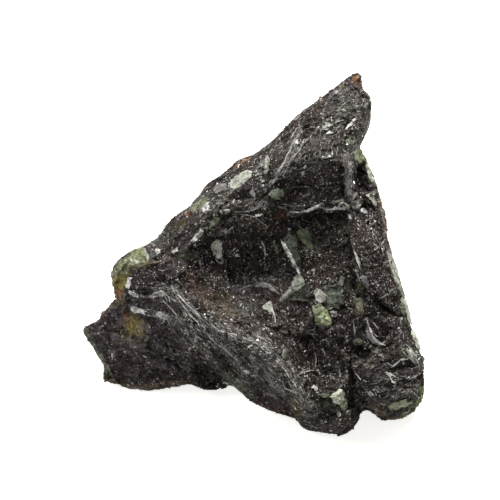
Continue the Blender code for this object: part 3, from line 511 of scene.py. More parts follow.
# A mix of tints for plates and threads: the two tints, the second's share, and how much brighter it is.
BLENDS = {
    "pink": ("lilac", "chalk", 0.33, 0.95),
    "brow": ("chalk", "blue_grey", 0.2, 1.6),
    "brow_grey": ("chalk", "lilac", 0.6, 0.62),
    "lilac_white": ("chalk", "lilac", 0.45, 1.0),
    "cool_film": ("chalk", "pale_green", 0.5, 0.95),
    # A brighter copy of cool_film: painted light on the upright plate in the shade of the bowl.
    "bright_cool": ("chalk", "pale_green", 0.5, 2.0),
    # A brighter copy of rim_grey: the pale rim with painted light on its lower part.
    "rim_white": ("pale_green", "chalk", 0.4, 1.7),
    "rim_grey": ("chalk", "pale_green", 0.6, 1.15),
    "dull_film": ("pale_green", "tan", 0.4, 1.0),
    "bright_lilac": ("chalk", "lilac", 0.25, 1.3),
    "bright_green": ("yellow_green", "pale_green", 0.5, 1.45),
    "bright_film": ("pale_green", "chalk", 0.45, 1.0),
    # Chalk made brighter: white film with painted light, for the streaks and edges in and beside the shaded
    # bowl.
    "bright_chalk": ("chalk", "pale_green", 0.05, 1.7),
    "sea_green": ("pale_green", "blue_grey", 0.35, 1.5),
    "deep_green": ("dim_green", "green_rock", 0.5, 1.0),
    "facet_green": ("yellow_green", "pale_green", 0.5, 0.95),
    "sea_dark": ("blue_grey", "pale_green", 0.3, 1.2),
    "wedge": ("pale_green", "chalk", 0.28, 1.9),
}


# Parts of the show face that broke flat, by their corners in pixels.
FACETS = {
    "dark face": [(296, 164), (320, 159), (344, 161), (343, 186), (318, 188), (294, 184)],
    "dark face low": [(292, 186), (343, 188), (344, 204), (326, 203), (306, 205), (288, 206)],
    "strip middle": [(228, 192), (262, 172), (280, 158), (292, 134), (268, 146), (234, 170), (208, 192)],
    "bowl left": [(226, 246), (238, 228), (246, 250), (244, 286), (228, 284)],
    "bowl right": [(250, 232), (270, 236), (280, 256), (270, 282), (250, 282)],
    "olive face": [(290, 226), (314, 228), (326, 248), (303, 258), (289, 246)],
    "blue face": [(285, 241), (299, 244), (302, 262), (294, 268), (286, 254)],
    "brown face": [(304, 257), (340, 240), (347, 284), (326, 286), (308, 282)],
    "green triangle": [(281, 298), (310, 281), (308, 300)],
    "teal face": [(322, 286), (338, 288), (338, 306), (326, 304)],
    "middle face": [(280, 300), (309, 301), (309, 327), (288, 326), (276, 314)],
    "left face": [(129, 268), (150, 262), (168, 264), (182, 286), (160, 296), (134, 296)],
    "left face low": [(132, 298), (160, 298), (178, 312), (172, 334), (136, 330)],
    "ridge flank": [(214, 344), (244, 362), (272, 392), (256, 398), (228, 376)],
}

# A place drawn out: its pixel, how far it moves right and up in millimetres, and how far that reaches.
Pull = namedtuple("Pull", "place way reach")
PULLS = {
    "left notch high": Pull((113, 302), (-0.45, 0.45), 1.2),
    "left notch low": Pull((105, 313), (-0.85, 0.6), 1.6),
    "left tip": Pull((84, 332), (-0.4, 0.0), 1.4),
    "left low edge": Pull((96, 358), (-0.35, -0.1), 1.5),
    "left corner": Pull((107, 380), (-1.0, -0.5), 1.3),
    "apex": Pull((359, 77), (0.25, 0.5), 1.2),
    "upper right": Pull((366, 95), (0.3, 0.3), 1.2),
    "neck": Pull((362, 151), (-0.5, 0.1), 1.2),
    "crevice mouth": Pull((358, 413), (-0.5, 0.6), 1.2),
    "strip edge": Pull((238, 162), (-0.15, 0.3), 2.5),
}


# Sizes and colours that can be changed


class GymniteShape(PropertyGroup):
    voxel: FloatProperty(
        name="Grain", description="Size of the mesh on the sides and the back", default=0.00048, min=0.0003,
        max=0.002, precision=5, unit="LENGTH")
    break_size: FloatProperty(
        name="Break", description="Size of the flat breaks that the rock falls into",
        default=0.0052, min=0.001,
        max=0.02, precision=4, unit="LENGTH")
    flatness: FloatProperty(
        name="Flatness", description="How flat a break is, from 0 for round to 1",
        default=0.75, min=0.0, max=1.0)
    chip_size: FloatProperty(
        name="Chip", description="Size of the chips on a break", default=0.0021, min=0.0005, max=0.01,
        precision=4, unit="LENGTH")
    grit_size: FloatProperty(
        name="Grit", description="Size of the smallest chips", default=0.0009, min=0.0004, max=0.004,
        precision=4, unit="LENGTH")
    grit_depth: FloatProperty(
        name="Grit depth", description="How far the smallest chips are set in or out",
        default=0.00008, min=0.0,
        max=0.001, precision=5, unit="LENGTH")
    silk_depth: FloatProperty(
        name="Silk depth", description="How deep the grooves between silky fibres are",
        default=0.00016, min=0.0,
        max=0.001, precision=5, unit="LENGTH")
    sharpness: FloatProperty(
        name="Sharp edges", description="An edge that turns more than this stays sharp",
        default=math.radians(28),
        min=0.0, max=math.pi, subtype="ANGLE")


class GymniteColours(PropertyGroup):
    # Black is painted shade in the carved hollows, pits, cracks and grooves, and elsewhere the darkest rock.
    black: FloatVectorProperty(
        name="Hollow", description="Rock deep in a hollow", subtype="COLOR", default=(0.0062, 0.0044, 0.004))
    dark_rock: FloatVectorProperty(
        name="Dark rock", description="The darkest rock", subtype="COLOR", default=(0.0108, 0.0072, 0.0064))
    brown_rock: FloatVectorProperty(
        name="Brown rock", description="Brown speckled rock", subtype="COLOR",
        default=(0.0155, 0.0086, 0.0058))
    purple_rock: FloatVectorProperty(
        name="Purple rock", description="Purple-brown rock", subtype="COLOR",
        default=(0.0092, 0.0046, 0.0058))
    lilac_rock: FloatVectorProperty(
        name="Lilac rock", description="Soft lilac-grey rock", subtype="COLOR",
        default=(0.014, 0.0098, 0.0108))
    grey_rock: FloatVectorProperty(
        name="Grey rock", description="Grey, slightly purple rock", subtype="COLOR",
        default=(0.0098, 0.0077, 0.0073))
    green_rock: FloatVectorProperty(
        name="Green rock", description="Dark green rock", subtype="COLOR", default=(0.015, 0.0195, 0.0125))
    olive: FloatVectorProperty(
        name="Olive", description="Olive brown wax", subtype="COLOR", default=(0.045, 0.037, 0.011))
    waxy_green: FloatVectorProperty(
        name="Waxy green", description="The green lump at the left edge", subtype="COLOR",
        default=(0.134, 0.143, 0.074))
    pale_green: FloatVectorProperty(
        name="Pale green", description="Pale green film", subtype="COLOR", default=(0.22, 0.25, 0.165))
    yellow_green: FloatVectorProperty(
        name="Yellow green", description="Bright green block and rims", subtype="COLOR",
        default=(0.20, 0.235, 0.09))
    yellow: FloatVectorProperty(
        name="Yellow", description="Yellow stain", subtype="COLOR", default=(0.17, 0.136, 0.034))
    orange: FloatVectorProperty(
        name="Orange", description="Orange stain", subtype="COLOR", default=(0.18, 0.08, 0.025))
    rust: FloatVectorProperty(
        name="Rust", description="Red-brown stain", subtype="COLOR", default=(0.06, 0.022, 0.012))
    tan: FloatVectorProperty(
        name="Tan", description="Tan and beige film", subtype="COLOR", default=(0.16, 0.12, 0.08))
    blue_grey: FloatVectorProperty(
        name="Blue grey", description="Blue-grey facets", subtype="COLOR", default=(0.036, 0.044, 0.04))
    chalk: FloatVectorProperty(
        name="Chalk", description="White flakes and lines", subtype="COLOR", default=(0.72, 0.70, 0.65))
    haze: FloatVectorProperty(
        name="Haze", description="Fine pale dust in the rock", subtype="COLOR", default=(0.175, 0.12, 0.102))
    dim_green: FloatVectorProperty(
        name="Dim green", description="Dark green wax", subtype="COLOR", default=(0.055, 0.068, 0.04))
    lilac: FloatVectorProperty(
        name="Lilac", description="Lilac-grey film", subtype="COLOR", default=(0.13, 0.105, 0.12))


class GymniteGrains(PropertyGroup):
    chips: IntProperty(
        name="Chips", description="How many loose-edged chips stand on the rock", default=10400, min=0)
    grains: IntProperty(
        name="Grains", description="How many bright grains lie on the rock", default=20000, min=0)
    fibres: IntProperty(
        name="Fibres", description="How many silky fibres lie on the rock", default=6600, min=0)
    flakes: IntProperty(
        name="Flakes", description="How many small pale flakes lie on the rock", default=1050, min=0)


class GymniteStage(PropertyGroup):
    lens: FloatProperty(name="Lens", description="Focal length in millimetres", default=180.0, min=20.0)
    floor: FloatProperty(name="Floor", description="Width of the floor", default=4.0, min=0.5, unit="LENGTH")
    glow: FloatProperty(
        name="Floor glow", description="How brightly the floor is lit from below, as on a light table",
        default=0.8, min=0.0)
    key_power: FloatProperty(
        name="Key light", description="Soft light from behind", default=8.2, unit="POWER")
    fill_power: FloatProperty(
        name="Fill light", description="Soft light from the left", default=2.0, unit="POWER")
    sky: FloatProperty(name="Sky", description="Strength of the even light all round", default=0.205, min=0.0)


# Places on the show face


def photo_places(points):
    """Pixels across and down the photograph at which points, in millimetres, are seen."""
    from_middle = points - FACE_ORIGIN
    spread = 1 - (from_middle @ FACE_OUT) / SIGHTING_DISTANCE
    across = (from_middle @ FACE_RIGHT) / spread
    up = (from_middle @ FACE_UP) / spread
    return PHOTO_MIDDLE + across * PIXELS_PER_MM, PHOTO_MIDDLE - up * PIXELS_PER_MM


def sight_line(place):
    """Where the camera stands and the way it looks at a pixel, in metres."""
    eye = FACE_ORIGIN + FACE_OUT * SIGHTING_DISTANCE
    across = (place[0] - PHOTO_MIDDLE) / PIXELS_PER_MM
    up = (PHOTO_MIDDLE - place[1]) / PIXELS_PER_MM
    target = FACE_ORIGIN + FACE_RIGHT * across + FACE_UP * up
    return Vector(eye * MM), Vector(target - eye).normalized()


def distance_to_line(x, y, places):
    """Millimetres from each pixel place to a line, and how far along the line it is, from 0 to 1."""
    nearest = np.full(x.shape, np.inf)
    along = np.zeros(x.shape)
    for i, (start, end) in enumerate(zip(places, places[1:])):
        run, fall = end[0] - start[0], end[1] - start[1]
        share = np.clip(((x - start[0]) * run + (y - start[1]) * fall) / (run * run + fall * fall), 0, 1)
        distance = np.hypot(x - start[0] - share * run, y - start[1] - share * fall) / PIXELS_PER_MM
        closer = distance < nearest
        nearest[closer] = distance[closer]
        along[closer] = (i + share[closer]) / (len(places) - 1)
    return nearest, along


def depth_inside(x, y, corners):
    """Millimetres from each pixel place to the edge of an area, above zero inside it."""
    nearest, _ = distance_to_line(x, y, corners + corners[:1])
    inside = np.zeros(x.shape, bool)
    for (x0, y0), (x1, y1) in zip(corners, corners[1:] + corners[:1]):
        if y0 != y1:
            crosses = (y0 > y) != (y1 > y)
            inside ^= crosses & (x < (x1 - x0) * (y - y0) / (y1 - y0) + x0)
    return np.where(inside, nearest, -nearest)


def ramp(value, low, high):
    """0 below low, 1 above high, and smooth between."""
    share = np.clip((value - low) / (high - low), 0, 1)
    return share * share * (3 - 2 * share)


def lumps(points, size, seed):
    """Smooth noise at each point, from about -1 to 1, in lumps of a size in the points' own unit."""
    shifted = points / size + np.array((17.3, 5.1, 9.7)) * seed
    return 1.6 * np.array([noise.noise(place) for place in shifted.tolist()])


def cells(points, size, seed):
    """The number of the uneven cell that each point lies in, and a chance from 0 to 1 for its cell."""
    shifted = points / size + np.array((3.9, 11.2, 7.7)) * seed
    centres = np.array([noise.voronoi(place)[1][0] for place in shifted.tolist()])
    _, numbers = np.unique(np.round(centres, 4), axis=0, return_inverse=True)
    numbers = numbers.ravel()
    return numbers, np.random.default_rng(seed).random(numbers.max() + 1)[numbers]


def flat_breaks(points, normals, numbers, tilt, seed, limit):
    """How far out each point moves to lie on its cell's own plane, which is turned by chance."""
    count = numbers.max() + 1
    size = np.maximum(np.bincount(numbers, minlength=count), 1)[:, None]
    middle, facing = np.zeros((count, 3)), np.zeros((count, 3))
    np.add.at(middle, numbers, points)
    np.add.at(facing, numbers, normals)
    middle /= size
    facing /= np.maximum(np.linalg.norm(facing, axis=1, keepdims=True), 1e-6)
    facing += np.random.default_rng(seed).normal(0, tilt, (count, 3))
    facing /= np.linalg.norm(facing, axis=1, keepdims=True)
    lean = np.maximum(np.sum(normals * facing[numbers], axis=1), 0.35)
    return np.clip(np.sum((middle[numbers] - points) * facing[numbers], axis=1) / lean, -limit, limit)


# Work on objects


def take(obj):
    """Select one object alone, and make it the active one."""
    if bpy.context.object and bpy.context.object.mode != "OBJECT":
        bpy.ops.object.mode_set(mode="OBJECT")
    bpy.ops.object.select_all(action="DESELECT")
    obj.select_set(True)
    bpy.context.view_layer.objects.active = obj


def apply_modifiers(obj):
    """Make all that an object's modifiers do part of its mesh."""
    take(obj)
    for modifier in list(obj.modifiers):
        bpy.ops.object.modifier_apply(modifier=modifier.name)


def points_of(mesh):
    """The mesh's points in millimetres, and their normals."""
    points = np.empty(len(mesh.vertices) * 3, np.float32)
    normals = np.empty(len(mesh.vertices) * 3, np.float32)
    mesh.vertices.foreach_get("co", points)
    mesh.vertex_normals.foreach_get("vector", normals)
    return points.reshape(-1, 3).astype(float) / MM, normals.reshape(-1, 3).astype(float)


def move_points(mesh, points):
    """Put the mesh's points at places in millimetres, kept inside the lump's own box."""
    low, high = (np.array(corner) / MM for corner in CAD_BOX)
    inside = np.clip(points, low, high) * MM
    mesh.vertices.foreach_set("co", inside.astype(np.float32).ravel())
    mesh.update()


def store(mesh, name, kind, values):
    """Keep a value at each point of the mesh, for its material."""
    layer = mesh.attributes.new(name, kind, "POINT")
    key = {"FLOAT": "value", "FLOAT_VECTOR": "vector", "FLOAT_COLOR": "color"}[kind]
    layer.data.foreach_set(key, np.asarray(values, np.float32).ravel())


def with_alpha(colours):
    """Colours with a fourth value of one, as a colour attribute needs."""
    return np.column_stack((colours, np.ones(len(colours))))


def finish_piece(piece, material, sharpness=None):
    """Give a piece its material and its body. Its faces are flat unless a sharp edge's angle is given."""
    piece.data.materials.clear()
    piece.data.materials.append(material)
    take(piece)
    if sharpness is None:
        bpy.ops.object.shade_flat()
    else:
        bpy.ops.object.shade_smooth_by_angle(angle=sharpness)
    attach(piece, BODY)


# What lies on the stone


# Nothing is strewn closer than this to the sides of the lump's box, in millimetres.
BOX_MARGIN = 0.25

# Strewn places: the corners and shares that give each one, its middle, its outward way and its three axes.
Spots = namedtuple("Spots", "corners shares centres normals frames")


class Ground:
    """The stone's surface in millimetres, to lay small things on."""

    def __init__(self):
        mesh = bpy.data.objects[STONE].data
        self.points, self.normals = points_of(mesh)
        mesh.calc_loop_triangles()
        corners = np.empty(len(mesh.loop_triangles) * 3, np.int32)
        mesh.loop_triangles.foreach_get("vertices", corners)
        self.corners = corners.reshape(-1, 3)
        self.tree = BVHTree.FromPolygons(self.points.tolist(), self.corners.tolist())
        self.facing = self.normals @ FACE_OUT
        self.tint = self.values(mesh, "tint", "color", 4)[:, :3]
        self.finish = self.values(mesh, "finish", "vector", 3)
        self.ways = self.values(mesh, "grain_way", "vector", 3)
        self.silk = self.values(mesh, "silk", "value", 1)[:, 0]
        self.rough = self.values(mesh, "rough", "value", 1)[:, 0]

    def values(self, mesh, name, key, width):
        """What is kept at each point of the mesh under a name."""
        found = np.empty(len(mesh.vertices) * width, np.float32)
        mesh.attributes[name].data.foreach_get(key, found)
        return found.reshape(-1, width).astype(float)

    def scatter(self, count, weight, dice):
        """Corner numbers and shares of places picked at random, more where the weight is higher."""
        a, b, c = (self.points[self.corners[:, i]] for i in range(3))
        area = np.linalg.norm(np.cross(b - a, c - a), axis=1) / 2
        chance = area * np.maximum(weight, 0)[self.corners].mean(axis=1)
        low, high = (np.array(corner) / MM for corner in CAD_BOX)
        middle = (a + b + c) / 3
        chance *= np.all((middle > low + BOX_MARGIN) & (middle < high - BOX_MARGIN), axis=1)
        picked = dice.choice(len(chance), count, p=chance / chance.sum())
        shares = dice.dirichlet((1, 1, 1), count)
        return self.corners[picked], shares

    def at(self, values, corners, shares):
        """A value at scattered places."""
        if values.ndim == 1:
            return np.sum(values[corners] * shares, axis=1)
        return np.einsum("nij,ni->nj", values[corners], shares)

    def strew(self, count, weight, dice, spin, tilt):
        """Places picked at random, each with axes that are turned a little."""
        corners, shares = self.scatter(count, weight, dice)
        centres = self.at(self.points, corners, shares)
        normals = self.at(self.normals, corners, shares)
        frames = turned_frames(normals, self.at(self.ways, corners, shares), dice, spin, tilt)
        return Spots(corners, shares, centres, normals, frames)


def turned_frames(normals, ways, dice, spin, tilt):
    """Axes for scattered things: along the grain, across it and outwards, each turned a little at random."""
    count = len(normals)
    out = normals + dice.normal(0, tilt, (count, 3))
    out /= np.linalg.norm(out, axis=1, keepdims=True)
    along = ways - out * np.sum(ways * out, axis=1, keepdims=True)
    along /= np.maximum(np.linalg.norm(along, axis=1, keepdims=True), 1e-6)
    across = np.cross(out, along)
    turn = dice.normal(0, spin, (count, 1))
    along, across = along * np.cos(turn) + across * np.sin(turn), across * np.cos(turn) - along * np.sin(turn)
    return np.stack((along, across, out), axis=1)


def shape_of(piece):
    """A small piece's points and its triangles. The piece itself is removed."""
    points = np.array([vertex.co for vertex in piece.data.vertices])
    faces = np.array([face.vertices[:] for face in piece.data.polygons])
    bpy.data.objects.remove(piece)
    return points, faces


# Chips on places that face out more than this are one piece, and those all round are the other.
CHIPS_PART = 0.15
# How many flat cuts shape a chip.
CHIP_CUTS = 5


def cut_chip(number):
    """One angular chip a unit wide, broken from a block by a few flat cuts: its points and its triangles."""
    dice = np.random.default_rng(number)
    bpy.ops.object.select_all(action="DESELECT")
    bpy.ops.mesh.primitive_cube_add(size=0.9)
    chip = bpy.context.object
    bpy.ops.object.mode_set(mode="EDIT")
    for _ in range(CHIP_CUTS):
        way = dice.normal(size=3)
        way /= np.linalg.norm(way)
        bpy.ops.mesh.select_all(action="SELECT")
        bpy.ops.mesh.bisect(
            plane_co=way * dice.uniform(0.12, 0.3), plane_no=way, use_fill=True, clear_outer=True,
            threshold=1e-5)
    bpy.ops.mesh.select_all(action="SELECT")
    bpy.ops.mesh.remove_doubles(threshold=0.08)
    bpy.ops.mesh.select_all(action="SELECT")
    bpy.ops.mesh.quads_convert_to_tris()
    bpy.ops.mesh.normals_make_consistent(inside=False)
    bpy.ops.object.mode_set(mode="OBJECT")
    return shape_of(chip)


def pointed_grain():
    """A low pyramid a unit wide, with four sides and a closed foot of four triangles."""
    bpy.ops.object.select_all(action="DESELECT")
    bpy.ops.mesh.primitive_cone_add(vertices=4, radius1=0.5, radius2=0, depth=0.7, end_fill_type="TRIFAN")
    return shape_of(bpy.context.object)


def copies(shape, centres, frames, sizes):
    """A shape set down at many places: all points, all triangles and the number of each point's copy."""
    points, faces = shape
    placed = (points[None] * sizes[:, None, :]) @ frames + centres[:, None, :]
    shifts = np.arange(len(centres))[:, None, None] * len(points)
    owner = np.repeat(np.arange(len(centres)), len(points))
    return placed.reshape(-1, 3), (faces[None] + shifts).reshape(-1, 3), owner


def joined(parts):
    """Several sets of points and faces as one. Each part's last item is one row of values for each point."""
    shift, points, faces, values = 0, [], [], []
    for part_points, part_faces, part_values in parts:
        points.append(part_points)
        faces.append(np.asarray(part_faces) + shift)
        values.append(part_values)
        shift += len(part_points)
    return np.concatenate(points), np.concatenate(faces), np.concatenate(values)


def new_piece(name, points, faces):
    """A piece from points in millimetres, kept inside the lump's own box."""
    mesh = bpy.data.meshes.new(name)
    mesh.from_pydata(np.zeros((len(points), 3)), [], faces.tolist())
    move_points(mesh, points)
    piece = bpy.data.objects.new(name, mesh)
    bpy.context.scene.collection.objects.link(piece)
    return piece


def tubes(paths, widths):
    """Thin four-sided threads, pointed at both ends, along paths of equally many points."""
    count, steps = paths.shape[:2]
    run = np.gradient(paths, axis=1)
    run /= np.maximum(np.linalg.norm(run, axis=2, keepdims=True), 1e-9)
    side = np.cross(run, np.array((0.31, 0.42, 0.85)))
    side /= np.maximum(np.linalg.norm(side, axis=2, keepdims=True), 1e-9)
    other = np.cross(run, side)
    girth = (widths[:, None] / 2 * np.sin(np.linspace(0.12, np.pi - 0.12, steps)) ** 0.6)[:, :, None]
    turns = (0, math.pi / 2, math.pi, math.pi * 1.5)
    corners = [paths + girth * (side * math.cos(turn) + other * math.sin(turn)) for turn in turns]
    points = np.stack(corners, axis=2).reshape(count * steps * 4, 3)
    faces = []
    for step in range(steps - 1):
        for corner in range(4):
            a, b = step * 4 + corner, step * 4 + (corner + 1) % 4
            faces += [(a, b, b + 4), (a, b + 4, a + 4)]
    last = (steps - 1) * 4
    faces += [(2, 1, 0), (3, 2, 0), (last, last + 1, last + 2), (last, last + 2, last + 3)]
    shifts = np.arange(count)[:, None, None] * steps * 4
    return points, (np.array(faces)[None] + shifts).reshape(-1, 3), np.repeat(np.arange(count), steps * 4)


def evenly(places, spacing, closed=False):
    """Places along a line or an outline, about a spacing apart, in the places' own unit."""
    line = np.array(places + places[:1] if closed else places, float)
    lengths = np.concatenate(([0], np.cumsum(np.linalg.norm(np.diff(line, axis=0), axis=1))))
    count = max(int(round(lengths[-1] / spacing)), 4)
    at = np.linspace(0, lengths[-1], count + 1)
    if closed:
        at = at[:-1]
    return np.column_stack([np.interp(at, lengths, line[:, axis]) for axis in range(2)])


# A point further than this from the plane of the others is left out of it, in millimetres.
SHEET_JUMP = 1.0
# A plate or a thread follows the stone up to this far to either side of that plane.
SHEET_PLAY = 0.45


def seen_points(ground, places):
    """The points of the stone seen at several pixels, as a sheet with no jumps, and the ways to the eye."""
    eye = FACE_ORIGIN + FACE_OUT * SIGHTING_DISTANCE
    ways = np.array([sight_line(place)[1] for place in places])
    found = [ground.tree.ray_cast(Vector(eye), Vector(way))[3] for way in ways]
    far = np.array([math.nan if distance is None else distance for distance in found])
    hit = np.isfinite(far)
    if hit.sum() < 3:
        return None, None
    table = np.column_stack((np.asarray(places), np.ones(len(places))))
    plane = np.linalg.lstsq(table[hit], far[hit], rcond=None)[0]
    keep = hit & (np.abs(far - table @ plane) < SHEET_JUMP)
    if keep.sum() >= 3:
        plane = np.linalg.lstsq(table[keep], far[keep], rcond=None)[0]
    flat = table @ plane
    far = np.where(hit, np.clip(far, flat - SHEET_PLAY, flat + SHEET_PLAY), flat)
    return eye + ways * far[:, None], -ways


# A plate's rings: how far out each lies, how high it stands, and how bright it is.
Ring = namedtuple("Ring", "share height shade")
RINGS = (
    Ring(1.0, 0.5, 1.0), Ring(0.91, 0.9, 1.15), Ring(0.76, 1.05, 1.05), Ring(0.58, 1.15, 1.0),
    Ring(0.38, 1.2, 0.97), Ring(0.18, 1.2, 0.95))
# Pixels between the points of a plate's outline and of a thread's line.
PLATE_STEP = 1.9
THREAD_STEP = 1.6
# How far a plate's foot reaches into the stone, in millimetres.
PLATE_ROOT = 0.35


def draped_plate(ground, plate, tint, dice):
    """A thin closed plate with a ragged edge, laid over the stone: its points, its faces and its tints."""
    outline = evenly(plate.corners, PLATE_STEP, closed=True)
    middle = outline.mean(axis=0)
    outline = outline + dice.normal(0, 0.5, outline.shape)
    count = len(outline)
    places = np.concatenate([middle + (outline - middle) * ring.share for ring in RINGS] + [middle[None]])
    ground_points, towards = seen_points(ground, places)
    if ground_points is None:
        return None
    height = np.append(np.repeat([ring.height for ring in RINGS], count), 0.9)
    height = height * (0.85 + 0.3 * lumps(ground_points, 0.9, 71)) + 0.15 * lumps(ground_points, 0.4, 72)
    top = ground_points + towards * plate.thick * np.maximum(height, 0.2)[:, None]
    edge = ground_points[:count] - towards[:count] * PLATE_ROOT
    centre = ground_points[-1:] - towards[-1:] * PLATE_ROOT
    points = np.concatenate((top, edge, centre))
    faces, under, tip, root = [], len(top), len(top) - 1, len(points) - 1
    for i in range(count):
        after = (i + 1) % count
        for ring in range(len(RINGS) - 1):
            a, b = ring * count + i, ring * count + after
            faces += [(a, b, b + count), (a, b + count, a + count)]
        inner = (len(RINGS) - 1) * count
        faces += [(inner + i, inner + after, tip), (under + i, under + after, after), (under + i, after, i)]
        faces.append((under + after, under + i, root))
    shade = np.append(np.repeat([ring.shade for ring in RINGS], count), np.full(count + 2, 0.8))
    return points, np.array(faces), shade[:, None] * tint


def laid_thread(ground, thread, dice):
    """The strands of a raised line, laid over the stone: their points and their faces."""
    parts = []
    for strand in range(thread.strands):
        line = evenly(thread.places, THREAD_STEP)
        shift = dice.normal(0, thread.width * PIXELS_PER_MM * 0.75, 2) if strand else np.zeros(2)
        line = line + shift + np.cumsum(dice.normal(0, 0.22, line.shape), axis=0) * 0.6
        if strand and len(line) > 6:
            start = dice.integers(0, len(line) // 2)
            line = line[start:start + max(len(line) // 2, 4)]
        points, towards = seen_points(ground, line)
        if points is None:
            continue
        width = thread.width * (1.0 if strand == 0 else dice.uniform(0.3, 0.6))
        points = points + towards * width * 0.25
        tube_points, tube_faces, _ = tubes(points[None], np.array((width,)))
        wide = 1 + 0.5 * lumps(tube_points, 0.8, 73)[:, None]
        along = np.repeat(points, 4, axis=0)
        parts.append((along + (tube_points - along) * wide, tube_faces, np.zeros((len(tube_points), 1))))
    if not parts:
        return None
    points, faces, _ = joined(parts)
    return points, faces


def blended(colours, name):
    """A tint by its name, or a mix of two tints made brighter."""
    if name not in BLENDS:
        return np.array(getattr(colours, name))
    first, second, share, gain = BLENDS[name]
    first, second = np.array(getattr(colours, first)), np.array(getattr(colours, second))
    return gain * ((1 - share) * first + share * second)


# The stone's shape


def rough_stone(shape):
    """A copy of the solid with an even mesh, twice as fine on the show face."""
    stone = bpy.data.objects.new(STONE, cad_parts[NODE].data.copy())
    bpy.context.scene.collection.objects.link(stone)
    take(stone)
    bpy.ops.object.mode_set(mode="EDIT")
    bpy.ops.mesh.select_all(action="SELECT")
    bpy.ops.mesh.remove_doubles(threshold=1e-6)
    bpy.ops.object.mode_set(mode="OBJECT")
    even = stone.modifiers.new("even", "REMESH")
    even.mode = "VOXEL"
    even.voxel_size = shape.voxel
    soft = stone.modifiers.new("soft", "SMOOTH")
    soft.factor = 0.5
    soft.iterations = 1
    apply_modifiers(stone)
    mesh = stone.data
    facing = np.empty(len(mesh.polygons) * 3, np.float32)
    mesh.polygons.foreach_get("normal", facing)
    facing = facing.reshape(-1, 3) @ FACE_OUT
    bpy.ops.object.mode_set(mode="EDIT")
    bpy.ops.mesh.select_mode(type="FACE")
    bpy.ops.mesh.select_all(action="DESELECT")
    bpy.ops.object.mode_set(mode="OBJECT")
    mesh.polygons.foreach_set("select", facing > FINE_MESH)
    bpy.ops.object.mode_set(mode="EDIT")
    bpy.ops.mesh.subdivide(number_cuts=1)
    bpy.ops.object.mode_set(mode="OBJECT")
    return stone


def grain_ways(points, facing):
    """The way the grain runs at each point: as on the show face there, and by blocks elsewhere."""
    x, y = photo_places(points)
    warp_x, warp_y = lumps(points, 4.0, 1) * 14, lumps(points, 4.0, 2) * 14
    nearest = np.full(len(points), np.inf)
    angle = np.zeros(len(points))
    for (px, py), degrees in GRAIN_RUNS.values():
        distance = np.hypot(x + warp_x - px, y + warp_y - py)
        closer = distance < nearest
        nearest[closer] = distance[closer]
        angle[closer] = math.radians(degrees)
    on_face = np.cos(angle)[:, None] * FACE_RIGHT + np.sin(angle)[:, None] * FACE_UP
    noise.seed_set(HIDDEN_GRAIN_SEED)
    middles = [noise.voronoi(place)[1][0] for place in (points / HIDDEN_BLOCK).tolist()]
    block = np.array([noise.noise_vector(middle * 5.1) for middle in middles])
    block += np.array((0.35, 0.25, 0.1))
    ways = np.where((facing > ON_SHOW)[:, None], on_face, block)
    return ways / np.linalg.norm(ways, axis=1, keepdims=True)


def drawn_out(points, ways, share):
    """Points squeezed along the grain, so that a pattern read there is drawn out along it."""
    along = np.sum(points * ways, axis=1, keepdims=True)
    return points - ways * along * (1 - share)


def silk_strength(x, y, facing, points):
    """How silky the rock is at each point."""
    strength = np.zeros(len(points))
    for silk in SILKS.values():
        distance, _ = distance_to_line(x, y, silk.places)
        reach = 1 - distance / (silk.width * 0.5 * (1 + 0.5 * lumps(points, 2.0, 3)))
        strength = np.maximum(strength, silk.strength * ramp(reach, -0.4, 0.8))
    elsewhere = ramp(lumps(points, 7.0, 4) + 0.3 * lumps(points, 2.0, 5), 0.35, 0.8)
    return np.where(facing > ON_SHOW, strength * ramp(facing, 0.05, 0.3), 0.5 * elsewhere)


